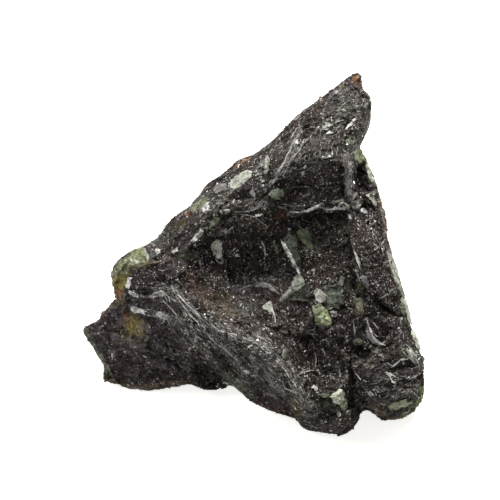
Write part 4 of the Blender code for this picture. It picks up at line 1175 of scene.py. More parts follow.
def carve(stone, shape):
    """Breaks, chips, grooves and the marks of the show face. Returns the grain's ways, the silk and the
    roughness of the points."""
    points, normals = points_of(stone.data)
    facing = normals @ FACE_OUT
    x, y = photo_places(points)
    ways = grain_ways(points, facing)
    silk = silk_strength(x, y, facing, points)
    broad = drawn_out(points, ways, 0.62)
    warped = broad + 0.5 * np.column_stack([lumps(points, 2.5, seed) for seed in (51, 52, 53)])
    large, _ = cells(warped, shape.break_size / MM, 1)
    shown = ramp(facing, 0.0, 0.2) > 0.5
    for corners in FACETS.values():
        large[(depth_inside(x, y, corners) > 0) & shown] = large.max() + 1
    rim = ramp(np.abs(facing), 0.05, 0.5)
    rise = shape.flatness * flat_breaks(points, normals, large, tilt=0.07, seed=61, limit=0.8) * rim
    small, chance = cells(warped, shape.chip_size / MM, 2)
    rough = ramp(lumps(points, 4.5, 9) + 0.8 * (chance - 0.5), -0.2, 0.6)
    chip = flat_breaks(points + normals * rise[:, None], normals, small, tilt=0.13, seed=62, limit=0.25)
    rise += chip * (0.3 + 0.5 * rough) * (0.4 + 0.6 * rim)
    _, chance = cells(warped, shape.grit_size / MM, 3)
    rise += (chance - 0.5) * 2 * shape.grit_depth / MM * (0.15 + 0.85 * rough) * (1 - 0.5 * silk)
    for carving in CARVINGS.values():
        distance, along = distance_to_line(x, y, carving.places)
        width = carving.width * (0.55 + 0.45 * np.sin(np.pi * along)) * (1 + 0.35 * lumps(points, 1.6, 6))
        rise += carving.height * np.exp(-(distance / width) ** 2) * ramp(facing, 0.0, 0.3)
    fine = drawn_out(points, ways, 0.1)
    grooves = lumps(fine, 0.55, 7) + 0.6 * lumps(fine, 0.28, 8)
    rise += shape.silk_depth / MM * grooves * (0.15 + 1.0 * silk)
    shift = np.zeros((len(points), 3))
    for pull in PULLS.values():
        near = np.exp(-(np.hypot(x - pull.place[0], y - pull.place[1]) / PIXELS_PER_MM / pull.reach) ** 2)
        shift += near[:, None] * (pull.way[0] * FACE_RIGHT + pull.way[1] * FACE_UP)
    shift *= ramp(points[:, 2], 0.6, 2.5)[:, None]
    underside = ramp(-normals[:, 2], 0.85, 0.97) * ramp(-points[:, 2], -1.0, -0.1)
    rise = np.where(underside > 0.5, -np.abs(rise) * 0.8, rise)
    move_points(stone.data, points + normals * rise[:, None] + shift)
    return ways, silk, rough


# The stone's colours


def edge_sharpness(mesh, points, normals):
    """How far each point stands out from its neighbours: above zero on edges, below in cracks."""
    ends = np.empty(len(mesh.edges) * 2, np.int32)
    mesh.edges.foreach_get("vertices", ends)
    ends = ends.reshape(-1, 2)
    total = np.zeros((len(points), 3))
    count = np.zeros(len(points))
    for a, b in ((0, 1), (1, 0)):
        np.add.at(total, ends[:, a], points[ends[:, b]])
        np.add.at(count, ends[:, a], 1)
    middle = total / np.maximum(count, 1)[:, None]
    spacing = np.zeros(len(points))
    lengths = np.linalg.norm(points[ends[:, 0]] - points[ends[:, 1]], axis=1)
    np.add.at(spacing, ends[:, 0], lengths)
    np.add.at(spacing, ends[:, 1], lengths)
    spacing /= np.maximum(count, 1)
    return np.sum((points - middle) * normals, axis=1) / np.maximum(spacing, 1e-6)


class Paint:
    """The colour and finish at each point of the stone, as it is painted."""

    def __init__(self, count, colours):
        self.colours = colours
        self.tint = np.tile(np.array(colours.dark_rock), (count, 1))
        self.finish = np.tile(np.array(FINISHES["dark_rock"]), (count, 1))

    def cover(self, tint, amount):
        """Lay a tint and its finish over each point, by an amount from 0 to 1."""
        amount = np.clip(amount, 0, 1)[:, None]
        self.tint += (np.array(getattr(self.colours, tint)) - self.tint) * amount
        self.finish += (np.array(FINISHES[tint]) - self.finish) * amount


def paint(stone, ways, silk, colours):
    """The rock's tints, first those that run all through it and then the marks of the show face."""
    mesh = stone.data
    points, normals = points_of(mesh)
    facing = normals @ FACE_OUT
    shown = ramp(facing, -0.3, -0.05)
    x, y = photo_places(points)
    sharp = edge_sharpness(mesh, points, normals)
    coarse, middling, fine = lumps(points, 5.0, 11), lumps(points, 1.5, 12), lumps(points, 0.5, 13)
    hidden = 1 - shown
    coat = Paint(len(points), colours)
    coat.cover("purple_rock", ramp(coarse + 0.3 * middling, -0.3, 0.7) * 0.7)
    coat.cover("grey_rock", ramp(lumps(points, 6.0, 14) + 0.4 * middling, 0.15, 0.8) * 0.5)
    coat.cover("brown_rock", ramp(lumps(points, 4.0, 15) + 0.3 * fine, 0.2, 0.7) * 0.6)
    coat.cover("green_rock", ramp(lumps(points, 5.5, 16) + 0.5 * middling, 0.25, 0.6) * 0.7)
    paint_rind(coat, points, hidden, middling, fine)
    wobble = 0.35 * lumps(points, 1.1, 21) + 0.18 * fine
    for area in AREAS.values():
        depth = depth_inside(x, y, area.corners) + wobble
        coat.cover(area.tint, area.cover * ramp(depth, -area.edge / 2, area.edge / 2) * shown)
    # Lilac clouds on the left lower face: lilac film, with a painted soft sheen.
    clouded = ramp(depth_inside(x, y, AREAS["left lower face"].corners), -0.5, 1.5) * shown
    clouds = lumps(points, 1.3, 27) + 0.6 * lumps(points, 0.5, 28)
    coat.cover("lilac", ramp(clouds, -0.1, 1.0) * clouded * 0.5)
    for line in LINES.values():
        distance, along = distance_to_line(x, y, line.places)
        half = line.width / 2 * (0.65 + 0.35 * np.sin(np.pi * along))
        coat.cover(line.tint, line.cover * ramp(half - distance + 0.6 * wobble, -0.12, 0.16) * shown)
    streaks = lumps(drawn_out(points, ways, 0.07), 0.3, 22)
    streaks += 0.5 * lumps(drawn_out(points, ways, 0.12), 0.8, 23)
    coat.cover("chalk", ramp(streaks, 0.4, 1.2) * silk * 0.2)
    # Sharp edges are painted a little paler with chalk: a painted highlight.
    coat.cover("chalk", ramp(sharp, 0.2, 0.6) * 0.12)
    # Points lying below their neighbours, in cracks and creases, are painted darker: painted shade, weaker on
    # waxy rock.
    dark = 1 - 0.4 * ramp(-sharp, 0.1, 0.4) * (1 - coat.finish[:, 1])
    store(mesh, "tint", "FLOAT_COLOR", with_alpha(coat.tint * dark[:, None]))
    store(mesh, "finish", "FLOAT_VECTOR", coat.finish)
    store(mesh, "grain_place", "FLOAT_VECTOR", drawn_out(points, ways, 0.08))
    store(mesh, "silk", "FLOAT", silk)
    store(mesh, "grain_way", "FLOAT_VECTOR", ways)


def paint_rind(coat, points, hidden, middling, fine):
    """The weathered rind of the sides and the back: green wax over the dark rock, veined and rust-stained."""
    rind = ramp(lumps(points, 8.0, 17) + 0.35 * middling, -0.15, 0.45) * hidden
    coat.cover("green_rock", rind * 0.8)
    thick = ramp(lumps(points, 8.0, 17) + 0.45 * middling + 0.25 * fine, 0.45, 0.8) * hidden
    coat.cover("olive", thick * 0.8)
    coat.cover("waxy_green", ramp(thick + 0.3 * lumps(points, 2.4, 18), 0.75, 1.1) * 0.7)
    coat.cover("blue_grey", ramp(lumps(points, 3.5, 19) + 0.4 * middling, 0.55, 0.8) * 0.6 * hidden)
    stain = ramp(lumps(points, 4.0, 20) + 0.5 * middling + 0.3 * fine, 0.65, 1.0)
    coat.cover("rust", stain * 0.75 * hidden)
    coat.cover("orange", ramp(stain + 0.4 * fine, 0.85, 1.2) * 0.3 * hidden)
    vein = np.abs(lumps(points, 4.5, 24) + 0.25 * lumps(points, 1.2, 25) + 0.08 * fine)
    broken = ramp(lumps(points, 3.0, 26), -0.3, 0.3)
    coat.cover("pale_green", ramp(-vein, -0.07, -0.03) * broken * 0.8 * hidden)


# Materials


def new_material(name):
    """A material with its shader, and a function that adds a node with its settings and its inputs."""
    material = bpy.data.materials.new(name)
    material.use_nodes = True
    tree = material.node_tree
    shader = tree.nodes["Principled BSDF"]

    def add(kind, inputs=None, **settings):
        node = tree.nodes.new(kind)
        for key, value in settings.items():
            setattr(node, key, value)
        for key, value in (inputs or {}).items():
            if isinstance(value, bpy.types.NodeSocket):
                tree.links.new(value, node.inputs[key])
            else:
                node.inputs[key].default_value = value
        return node

    return material, tree, shader, add


def between(add, value, low, high, out_low=0.0, out_high=1.0):
    """A value mapped smoothly from one range to another."""
    node = add("ShaderNodeMapRange", {
        "Value": value, "From Min": low, "From Max": high, "To Min": out_low, "To Max": out_high})
    node.interpolation_type = "SMOOTHSTEP"
    return node.outputs["Result"]


def times(add, first, second):
    """One value times another."""
    return add("ShaderNodeMath", {0: first, 1: second}, operation="MULTIPLY").outputs[0]


def plus(add, first, second):
    """The sum of two values."""
    return add("ShaderNodeMath", {0: first, 1: second}, operation="ADD").outputs[0]


def mixed(add, share, first, second, blend="MIX"):
    """A mix of two colours: none of the second at share 0, and only the second at share 1."""
    node = add("ShaderNodeMix", data_type="RGBA", blend_type=blend)
    for socket, value in zip((node.inputs[0], node.inputs[6], node.inputs[7]), (share, first, second)):
        if isinstance(value, bpy.types.NodeSocket):
            node.id_data.links.new(value, socket)
        else:
            socket.default_value = value
    return node.outputs[2]


def object_mm(add):
    """Object coordinates in millimetres."""
    place = add("ShaderNodeTexCoord").outputs["Object"]
    return add("ShaderNodeMapping", {"Vector": place, "Scale": (1000, 1000, 1000)}).outputs["Vector"]


def small_breaks(add, place, size):
    """The height in millimetres of small flat breaks, each with its own tilt."""
    cell = add("ShaderNodeTexVoronoi", {"Vector": place, "Scale": 1 / size})
    offset = add("ShaderNodeVectorMath", {0: place, 1: cell.outputs["Position"]}, operation="SUBTRACT")
    tilt = add("ShaderNodeVectorMath", {0: cell.outputs["Color"], 1: (0.5, 0.5, 0.5)}, operation="SUBTRACT")
    height = add("ShaderNodeVectorMath", {0: offset.outputs[0], 1: tilt.outputs[0]}, operation="DOT_PRODUCT")
    return height.outputs["Value"]


def bright_dots(add, place, size, reach, share, low, high):
    """Round dots of uneven strength from low to high, one in a cell, in a share of the cells."""
    cell = add("ShaderNodeTexVoronoi", {"Vector": place, "Scale": 1 / size})
    red, green, _ = add("ShaderNodeSeparateColor", {"Color": cell.outputs["Color"]}).outputs
    near = between(add, cell.outputs["Distance"], reach, reach * 0.4)
    chosen = add("ShaderNodeMath", {0: red, 1: share}, operation="LESS_THAN").outputs[0]
    strength = between(add, times(add, green, green), 0, 1, low, high)
    return times(add, times(add, near, chosen), strength)


def stone_material(colours):
    """Waxy rock: painted tints, fine bright specks, streaks along the grain and small sparkling breaks."""
    material, tree, shader, add = new_material("gymnite_rock_look")
    place = object_mm(add)
    tint = add("ShaderNodeAttribute", attribute_name="tint").outputs["Color"]
    finish = add("ShaderNodeAttribute", attribute_name="finish").outputs["Vector"]
    dull, wax, specks = add("ShaderNodeSeparateXYZ", {"Vector": finish}).outputs
    grain = add("ShaderNodeAttribute", attribute_name="grain_place").outputs["Vector"]
    silk = add("ShaderNodeAttribute", attribute_name="silk").outputs["Fac"]
    rough = add("ShaderNodeAttribute", attribute_name="rough").outputs["Fac"]

    mottle = add("ShaderNodeTexNoise", {"Vector": place, "Scale": 1.6, "Detail": 8.0, "Roughness": 0.75})
    base = mixed(add, 1.0, tint, between(add, mottle.outputs["Fac"], 0.32, 0.68, 0.3, 2.4), "MULTIPLY")

    streak = add("ShaderNodeTexNoise", {"Vector": grain, "Scale": 6.0, "Detail": 4.0, "Roughness": 0.65})
    streaked = between(add, streak.outputs["Fac"], 0.55, 0.68)
    base = mixed(add, times(add, streaked, between(add, silk, 0, 1, 0.0, 0.8)), base, (*colours.chalk, 1))

    uneven = add("ShaderNodeTexNoise", {"Vector": place, "Scale": 9.0, "Detail": 3.0})
    shake = add("ShaderNodeVectorMath", {0: uneven.outputs["Color"], "Scale": 0.45}, operation="SCALE")
    shaken = add("ShaderNodeVectorMath", {0: place, 1: shake.outputs[0]}, operation="ADD").outputs[0]
    drift = add("ShaderNodeTexNoise", {"Vector": place, "Scale": 0.5, "Detail": 3.0})
    thick = times(add, specks, between(add, drift.outputs["Fac"], 0.35, 0.65, 0.35, 1.3))
    haze_share = times(add, between(add, uneven.outputs["Fac"], 0.52, 0.7), times(add, thick, 0.4))
    base = mixed(add, haze_share, base, (*colours.haze, 1))
    dim = bright_dots(add, shaken, size=0.3, reach=0.45, share=times(add, thick, 0.9), low=0.1, high=0.9)
    base = mixed(add, dim, base, (*colours.haze, 1))
    # Pale specks painted into the colour: pale grains, and painted glints.
    small = bright_dots(add, shaken, size=0.4, reach=0.36, share=times(add, thick, 0.5), low=0.1, high=0.9)
    large = bright_dots(add, shaken, size=0.8, reach=0.24, share=times(add, thick, 0.5), low=0.3, high=1.0)
    bright = add("ShaderNodeMath", {0: small, 1: large}, operation="MAXIMUM").outputs[0]
    base = mixed(add, bright, base, (*colours.chalk, 1))
    tree.links.new(base, shader.inputs["Base Color"])

    polish = add("ShaderNodeTexNoise", {"Vector": place, "Scale": 1.1, "Detail": 3.0})
    gloss = plus(add, dull, between(add, polish.outputs["Fac"], 0.3, 0.7, -0.18, 0.1))
    tree.links.new(gloss, shader.inputs["Roughness"])
    tree.links.new(times(add, wax, 0.5), shader.inputs["Subsurface Weight"])
    shader.inputs["Subsurface Radius"].default_value = (1.0, 0.9, 0.45)
    shader.inputs["Subsurface Scale"].default_value = 0.0016
    sheen = between(add, mottle.outputs["Fac"], 0.36, 0.64, 0.08, 0.43)
    tree.links.new(sheen, shader.inputs["Specular IOR Level"])
    shader.inputs["Specular Tint"].default_value = (1.0, 0.91, 0.88, 1)
    shader.inputs["IOR"].default_value = 1.54

    pits = add("ShaderNodeTexNoise", {"Vector": place, "Scale": 3.5, "Detail": 4.0, "Roughness": 0.6})
    lines = add("ShaderNodeTexNoise", {"Vector": grain, "Scale": 3.4, "Detail": 4.0, "Roughness": 0.6})
    broken = between(add, rough, 0, 1, 0.25, 1.0)
    height = times(add, pits.outputs["Fac"], 0.1)
    height = plus(add, height, times(add, lines.outputs["Fac"], between(add, silk, 0, 1, 0.03, 0.25)))
    height = plus(add, height, times(add, small_breaks(add, place, 1.2), times(add, broken, 0.4)))
    height = plus(add, height, times(add, small_breaks(add, shaken, 0.5), times(add, broken, 0.5)))
    height = plus(add, height, times(add, bright, 0.03))
    bump = add("ShaderNodeBump", {"Height": height, "Strength": 1.0, "Distance": 0.001})
    tree.links.new(bump.outputs["Normal"], shader.inputs["Normal"])
    return material


def piece_material(name, rough, wax, specular=0.5):
    """Threads, flakes, fibres and grains: their own tint with fine mottling and pits."""
    material, tree, shader, add = new_material(name)
    place = object_mm(add)
    tint = add("ShaderNodeAttribute", attribute_name="tint").outputs["Color"]
    mottle = add("ShaderNodeTexNoise", {"Vector": place, "Scale": 3.5, "Detail": 5.0, "Roughness": 0.65})
    shade = between(add, mottle.outputs["Fac"], 0.3, 0.7, 0.45, 1.25)
    tree.links.new(mixed(add, 1.0, tint, shade, "MULTIPLY"), shader.inputs["Base Color"])
    polish = between(add, mottle.outputs["Fac"], 0.3, 0.7, rough - 0.08, rough + 0.12)
    tree.links.new(polish, shader.inputs["Roughness"])
    shader.inputs["Subsurface Weight"].default_value = wax
    shader.inputs["Subsurface Radius"].default_value = (1.0, 0.95, 0.6)
    shader.inputs["Subsurface Scale"].default_value = 0.0008
    shader.inputs["Specular IOR Level"].default_value = specular
    pits = add("ShaderNodeTexNoise", {"Vector": place, "Scale": 7.0, "Detail": 3.0})
    bump = add("ShaderNodeBump", {"Height": pits.outputs["Fac"], "Strength": 0.4, "Distance": 0.00006})
    tree.links.new(bump.outputs["Normal"], shader.inputs["Normal"])
    return material


def plate_material(colours):
    """Waxy pale film: its tint with whiter clouds, dark grit and small breaks."""
    material, tree, shader, add = new_material("plate_look")
    place = object_mm(add)
    tint = add("ShaderNodeAttribute", attribute_name="tint").outputs["Color"]
    mottle = add("ShaderNodeTexNoise", {"Vector": place, "Scale": 2.8, "Detail": 6.0, "Roughness": 0.7})
    base = mixed(add, 1.0, tint, between(add, mottle.outputs["Fac"], 0.3, 0.68, 0.4, 1.45), "MULTIPLY")
    milk = add("ShaderNodeTexNoise", {"Vector": place, "Scale": 4.5, "Detail": 4.0, "Roughness": 0.6})
    clouded = times(add, between(add, milk.outputs["Fac"], 0.55, 0.68), 0.45)
    base = mixed(add, clouded, base, (*colours.chalk, 1))
    grit = bright_dots(add, place, size=0.5, reach=0.33, share=0.3, low=0.4, high=0.9)
    base = mixed(add, grit, base, (*colours.dark_rock, 1))
    tree.links.new(base, shader.inputs["Base Color"])
    tree.links.new(between(add, mottle.outputs["Fac"], 0.3, 0.7, 0.3, 0.5), shader.inputs["Roughness"])
    shader.inputs["Subsurface Weight"].default_value = 0.15
    shader.inputs["Subsurface Radius"].default_value = (1.0, 0.95, 0.6)
    shader.inputs["Subsurface Scale"].default_value = 0.0008
    height = plus(add, times(add, small_breaks(add, place, 0.8), 0.35), times(add, milk.outputs["Fac"], 0.1))
    bump = add("ShaderNodeBump", {"Height": height, "Strength": 1.0, "Distance": 0.001})
    tree.links.new(bump.outputs["Normal"], shader.inputs["Normal"])
    return material


def floor_material(glow):
    """A white sheet on a light table. Its glow shows to the camera and lights nothing else."""
    material, tree, shader, add = new_material("pale_floor")
    shader.inputs["Base Color"].default_value = (0.93, 0.915, 0.885, 1)
    shader.inputs["Roughness"].default_value = 0.9
    shader.inputs["Specular IOR Level"].default_value = 0.0
    shader.inputs["Emission Color"].default_value = (1.0, 0.99, 0.965, 1)
    seen = add("ShaderNodeLightPath").outputs["Is Camera Ray"]
    tree.links.new(times(add, seen, glow), shader.inputs["Emission Strength"])
    return material


# The stage


# The floor lies a hair below the lump's foot.
FLOOR_HEIGHT = -0.0001
# The lights point at this place, near the middle of the lump.
LIT_PLACE = Vector((0, 0, 0.012))


def soft_light(name, place, size, power, colour):
    """A square soft light that points at the lump."""
    bpy.ops.object.light_add(type="AREA", location=place)
    light = bpy.context.object
    light.name = name
    light.data.size = size
    light.data.energy = power
    light.data.color = colour
    light.rotation_euler = (LIT_PLACE - Vector(place)).to_track_quat("-Z", "Y").to_euler()


def even_sky(strength):
    """Even white light all round. Seen straight on it is plain white."""
    world = bpy.data.worlds.new("even_sky")
    bpy.context.scene.world = world
    world.use_nodes = True
    nodes, links = world.node_tree.nodes, world.node_tree.links
    seen = nodes.new("ShaderNodeBackground")
    seen.inputs["Color"].default_value = (1, 1, 1, 1)
    seen.inputs["Strength"].default_value = 1.0
    light = nodes["Background"]
    light.inputs["Color"].default_value = (1, 0.99, 0.98, 1)
    light.inputs["Strength"].default_value = strength
    path = nodes.new("ShaderNodeLightPath")
    mix = nodes.new("ShaderNodeMixShader")
    links.new(path.outputs["Is Camera Ray"], mix.inputs[0])
    links.new(light.outputs[0], mix.inputs[1])
    links.new(seen.outputs[0], mix.inputs[2])
    links.new(mix.outputs[0], nodes["World Output"].inputs["Surface"])


def place_camera(lens):
    """A long lens at the height and distance that the show face was sighted from."""
    place = Vector((FACE_ORIGIN + FACE_OUT * SIGHTING_DISTANCE) * MM)
    bpy.ops.object.camera_add(location=place)
    camera = bpy.context.object
    camera.name = "camera"
    camera.data.lens = lens
    camera.data.sensor_width = 36.0
    camera.data.clip_start = 0.01
    camera.data.clip_end = 20.0
    camera.rotation_euler = Vector(-FACE_OUT).to_track_quat("-Z", "Y").to_euler()
    bpy.context.scene.camera = camera
    bpy.context.scene.view_settings.view_transform = "Standard"


# Operators


class GYMNITE_OT_stone(Operator):
    """Make the broken lump of rock around its solid"""
    bl_idname = "gymnite.stone"
    bl_label = "Stone"

    def execute(self, context):
        scene = context.scene
        stone = rough_stone(scene.gymnite_shape)
        ways, silk, rough = carve(stone, scene.gymnite_shape)
        paint(stone, ways, silk, scene.gymnite_colours)
        store(stone.data, "rough", "FLOAT", rough)
        finish_piece(stone, stone_material(scene.gymnite_colours), scene.gymnite_shape.sharpness)
        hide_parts(NODE)
        return {"FINISHED"}


class GYMNITE_OT_chips(Operator):
    """Set small angular chips of the same rock all over the stone"""
    bl_idname = "gymnite.chips"
    bl_label = "Chips"

    def execute(self, context):
        ground = Ground()
        dice = np.random.default_rng(31)
        shapes = [cut_chip(number) for number in (3, 8, 15, 22)]
        clear = (1 - 0.9 * ground.finish[:, 1]) * (1 - 0.6 * ground.silk)
        rough = 0.1 + ground.rough * ramp(lumps(ground.points, 2.0, 32), -0.2, 0.6)
        front = ground.facing > CHIPS_PART
        sides = {"face_chips": front, "round_chips": ~front}
        total = context.scene.gymnite_grains.chips // (len(sides) * len(shapes))
        for name, side in sides.items():
            parts = []
            for shape in shapes:
                spots = ground.strew(total, clear * rough * side, dice, spin=0.9, tilt=0.2)
                length = np.clip(dice.lognormal(-0.55, 0.45, total), 0.3, 1.6)
                length *= 0.3 + 0.7 * ramp(np.abs(spots.normals @ FACE_OUT), 0.1, 0.5)
                sizes = length[:, None] * np.array((1.0, 0.75, 0.3)) * dice.uniform(0.7, 1.3, (total, 3))
                points, faces, owner = copies(shape, spots.centres, spots.frames, sizes)
                shade = np.exp(dice.normal(-0.2, 0.4, (total, 1)))
                tint = ground.at(ground.tint, spots.corners, spots.shares) * shade
                looks = np.column_stack((tint, ground.at(ground.finish, spots.corners, spots.shares)))
                parts.append((points, faces, looks[owner]))
            points, faces, looks = joined(parts)
            chips = new_piece(name, points, faces)
            store(chips.data, "tint", "FLOAT_COLOR", with_alpha(looks[:, :3]))
            store(chips.data, "finish", "FLOAT_VECTOR", looks[:, 3:])
            store(chips.data, "grain_place", "FLOAT_VECTOR", points)
            store(chips.data, "silk", "FLOAT", np.zeros(len(points)))
            store(chips.data, "rough", "FLOAT", np.full(len(points), 0.3))
            finish_piece(chips, bpy.data.objects[STONE].data.materials[0])
        return {"FINISHED"}


class GYMNITE_OT_plates(Operator):
    """Lay the thin pale plates of the show face"""
    bl_idname = "gymnite.plates"
    bl_label = "Plates"

    def execute(self, context):
        ground = Ground()
        dice = np.random.default_rng(83)
        parts = []
        for plate in PLATES.values():
            laid = draped_plate(ground, plate, blended(context.scene.gymnite_colours, plate.tint), dice)
            if laid is not None:
                parts.append(laid)
        points, faces, tint = joined(parts)
        plates = new_piece("pale_plates", points, faces)
        shade = np.clip(0.74 + 0.42 * lumps(points, 0.9, 84) + 0.36 * lumps(points, 0.3, 85), 0.2, 1.25)
        store(plates.data, "tint", "FLOAT_COLOR", with_alpha(np.minimum(tint * shade[:, None], WHITEST)))
        finish_piece(plates, plate_material(context.scene.gymnite_colours), math.radians(22))
        return {"FINISHED"}


class GYMNITE_OT_threads(Operator):
    """Lay the raised pale lines of the show face"""
    bl_idname = "gymnite.threads"
    bl_label = "Threads"

    def execute(self, context):
        ground = Ground()
        dice = np.random.default_rng(97)
        parts = []
        for thread in THREADS.values():
            laid = laid_thread(ground, thread, dice)
            if laid is not None:
                tint = blended(context.scene.gymnite_colours, thread.tint)
                parts.append((*laid, np.tile(tint, (len(laid[0]), 1))))
        points, faces, tint = joined(parts)
        threads = new_piece("pale_threads", points, faces)
        shade = np.clip(0.8 + 0.5 * lumps(points, 0.9, 98), 0.3, 1.2)
        store(threads.data, "tint", "FLOAT_COLOR", with_alpha(np.minimum(tint * shade[:, None], WHITEST)))
        finish_piece(threads, piece_material("thread_look", rough=0.4, wax=0.2), math.radians(60))
        return {"FINISHED"}


class GYMNITE_OT_flakes(Operator):
    """Strew small pale flakes over the stone"""
    bl_idname = "gymnite.flakes"
    bl_label = "Flakes"

    def execute(self, context):
        ground = Ground()
        dice = np.random.default_rng(101)
        colours = context.scene.gymnite_colours
        shapes = [cut_chip(number) for number in (2, 9, 17)]
        total = context.scene.gymnite_grains.flakes // len(shapes)
        dense = ramp(lumps(ground.points, 3.5, 102), 0.0, 0.9) + 0.12
        dense *= np.where(ground.facing > ON_SHOW, 1.0, 0.3) * (0.2 + ground.finish[:, 2])
        shares = {"chalk": 0.45, "pale_green": 0.2, "lilac_white": 0.2, "tan": 0.1, "brow_grey": 0.05}
        tints = np.array([blended(colours, name) for name in shares])
        parts = []
        for shape in shapes:
            spots = ground.strew(total, dense, dice, spin=0.9, tilt=0.12)
            length = np.clip(dice.lognormal(-0.55, 0.45, total), 0.3, 1.8)
            sizes = length[:, None] * np.array((1.2, 0.45, 0.2)) * dice.uniform(0.6, 1.4, (total, 3))
            points, faces, owner = copies(shape, spots.centres, spots.frames, sizes)
            tint = tints[dice.choice(len(tints), total, p=tuple(shares.values()))]
            parts.append((points, faces, (tint * dice.uniform(0.12, 0.9, (total, 1)))[owner]))
        points, faces, tint = joined(parts)
        flakes = new_piece("small_flakes", points, faces)
        store(flakes.data, "tint", "FLOAT_COLOR", with_alpha(tint))
        finish_piece(flakes, piece_material("flake_look", rough=0.4, wax=0.3))
        return {"FINISHED"}


class GYMNITE_OT_grains(Operator):
    """Strew bright grains over the stone"""
    bl_idname = "gymnite.grains"
    bl_label = "Grains"

    def execute(self, context):
        ground = Ground()
        dice = np.random.default_rng(47)
        colours = context.scene.gymnite_colours
        total = context.scene.gymnite_grains.grains
        dense = (0.1 + ground.finish[:, 2] ** 2) * (0.25 + ramp(lumps(ground.points, 1.6, 48), -0.1, 0.8))
        dense *= np.where(ground.facing > ON_SHOW, 1.0, 0.3) * (1 + 2 * ground.silk)
        dense *= 1 - 0.9 * ground.finish[:, 1]
        spots = ground.strew(total, dense, dice, spin=0.7, tilt=0.6)
        width = np.clip(dice.lognormal(-1.7, 0.45, total), 0.1, 0.7)
        sizes = width[:, None] * dice.uniform(0.6, 1.3, (total, 3)) * np.array((1.5, 0.9, 0.9))
        points, faces, owner = copies(pointed_grain(), spots.centres, spots.frames, sizes)
        pick = dice.random((total, 1))
        rare = np.where(pick < 0.94, colours.pale_green, colours.rust)
        tint = np.where(pick < 0.55, colours.chalk, np.where(pick < 0.85, colours.haze, rare))
        tint = tint * dice.uniform(0.4, 1.35, (total, 1))
        grains = new_piece("bright_grains", points, faces)
        store(grains.data, "tint", "FLOAT_COLOR", with_alpha(tint[owner]))
        finish_piece(grains, piece_material("grain_look", rough=0.24, wax=0.1, specular=0.9))
        return {"FINISHED"}


class GYMNITE_OT_fibres(Operator):
    """Lay silky fibres along the grain"""
    bl_idname = "gymnite.fibres"
    bl_label = "Fibres"

    def execute(self, context):
        ground = Ground()
        dice = np.random.default_rng(59)
        colours = context.scene.gymnite_colours
        total = context.scene.gymnite_grains.fibres
        dense = ramp(ground.silk, 0.05, 0.7) + np.where(ground.facing > ON_SHOW, 0.07, 0.04)
        dense *= 1 - 0.97 * ramp(ground.finish[:, 1], 0.0, 0.3)
        spots = ground.strew(total, dense, dice, spin=0.28, tilt=0.1)
        silk = ground.at(ground.silk, spots.corners, spots.shares)
        loose = turned_frames(spots.normals, spots.frames[:, 0], dice, spin=0.9, tilt=0.1)
        frames = np.where((silk < 0.2)[:, None, None], loose, spots.frames)
        length = np.clip(dice.lognormal(-0.2, 0.5, total), 0.3, 3.0) * (0.5 + 0.5 * ramp(silk, 0.05, 0.3))
        bend = dice.normal(0, 0.08, total)
        steps = np.linspace(-0.5, 0.5, 4)
        paths = spots.centres[:, None] + frames[:, None, 0] * (length[:, None] * steps)[:, :, None]
        paths = paths + frames[:, None, 1] * (length[:, None] * bend[:, None] * (steps * 2) ** 2)[:, :, None]
        lift = 0.03 + 0.07 * dice.random(total)
        for i, path in enumerate(paths):
            for j, point in enumerate(path):
                landed, normal, _, _ = ground.tree.find_nearest(point)
                path[j] = np.array(landed) + np.array(normal) * lift[i] * math.cos(math.pi * steps[j])
        widths = dice.uniform(0.045, 0.125, total)
        points, faces, owner = tubes(paths, widths)
        pick = dice.random((total, 1))
        tint = np.where(pick < 0.7, colours.chalk, np.where(pick < 0.85, colours.lilac, colours.tan))
        tint = tint * (0.2 + 1.1 * dice.random((total, 1)) ** 1.5)
        fibres = new_piece("silky_fibres", points, faces)
        store(fibres.data, "tint", "FLOAT_COLOR", with_alpha(tint[owner]))
        finish_piece(fibres, piece_material("fibre_look", rough=0.35, wax=0.2))
        return {"FINISHED"}


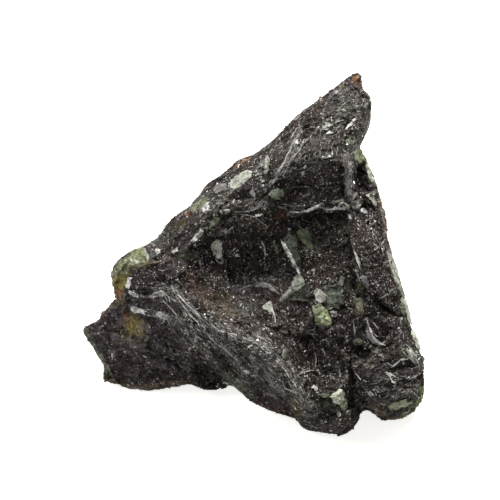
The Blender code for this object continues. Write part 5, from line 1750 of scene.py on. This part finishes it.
class GYMNITE_OT_stage(Operator):
    """Set the floor, the soft lights and the camera"""
    bl_idname = "gymnite.stage"
    bl_label = "Stage"

    def execute(self, context):
        stage = context.scene.gymnite_stage
        bpy.ops.object.select_all(action="DESELECT")
        bpy.ops.mesh.primitive_plane_add(size=stage.floor, location=(0, 0, FLOOR_HEIGHT))
        floor = context.object
        floor.name = "floor"
        floor.data.materials.append(floor_material(stage.glow))
        soft_light("key", (0.14, 0.46, 0.50), 0.30, stage.key_power, (1.0, 0.985, 0.965))
        soft_light("fill", (-0.55, 0.12, 0.42), 0.35, stage.fill_power, (0.97, 0.985, 1.0))
        even_sky(stage.sky)
        place_camera(stage.lens)
        return {"FINISHED"}


class GYMNITE_PT_panel(Panel):
    bl_label = "Gymnite"
    bl_idname = "GYMNITE_PT_panel"
    bl_space_type = "VIEW_3D"
    bl_region_type = "UI"
    bl_category = "Gymnite"

    def draw(self, context):
        for group in ("gymnite_shape", "gymnite_colours", "gymnite_grains", "gymnite_stage"):
            settings = getattr(context.scene, group)
            box = self.layout.box()
            for name in settings.__annotations__:
                box.prop(settings, name)
        for operator in OPERATORS:
            self.layout.operator(operator.bl_idname)


SETTINGS = {
    "gymnite_shape": GymniteShape,
    "gymnite_colours": GymniteColours,
    "gymnite_grains": GymniteGrains,
    "gymnite_stage": GymniteStage,
}
OPERATORS = (
    GYMNITE_OT_stone, GYMNITE_OT_chips, GYMNITE_OT_plates, GYMNITE_OT_threads, GYMNITE_OT_flakes,
    GYMNITE_OT_grains, GYMNITE_OT_fibres, GYMNITE_OT_stage)


def register():
    for group in (*SETTINGS.values(), *OPERATORS, GYMNITE_PT_panel):
        bpy.utils.register_class(group)
    for name, group in SETTINGS.items():
        setattr(bpy.types.Scene, name, PointerProperty(type=group))


def unregister():
    for name in SETTINGS:
        delattr(bpy.types.Scene, name)
    for group in reversed((*SETTINGS.values(), *OPERATORS, GYMNITE_PT_panel)):
        bpy.utils.unregister_class(group)


def main():
    register()
    bpy.ops.gymnite.stone()
    bpy.ops.gymnite.chips()
    bpy.ops.gymnite.plates()
    bpy.ops.gymnite.threads()
    bpy.ops.gymnite.flakes()
    bpy.ops.gymnite.grains()
    bpy.ops.gymnite.fibres()
    bpy.ops.gymnite.stage()


if __name__ == "__main__":
    main()
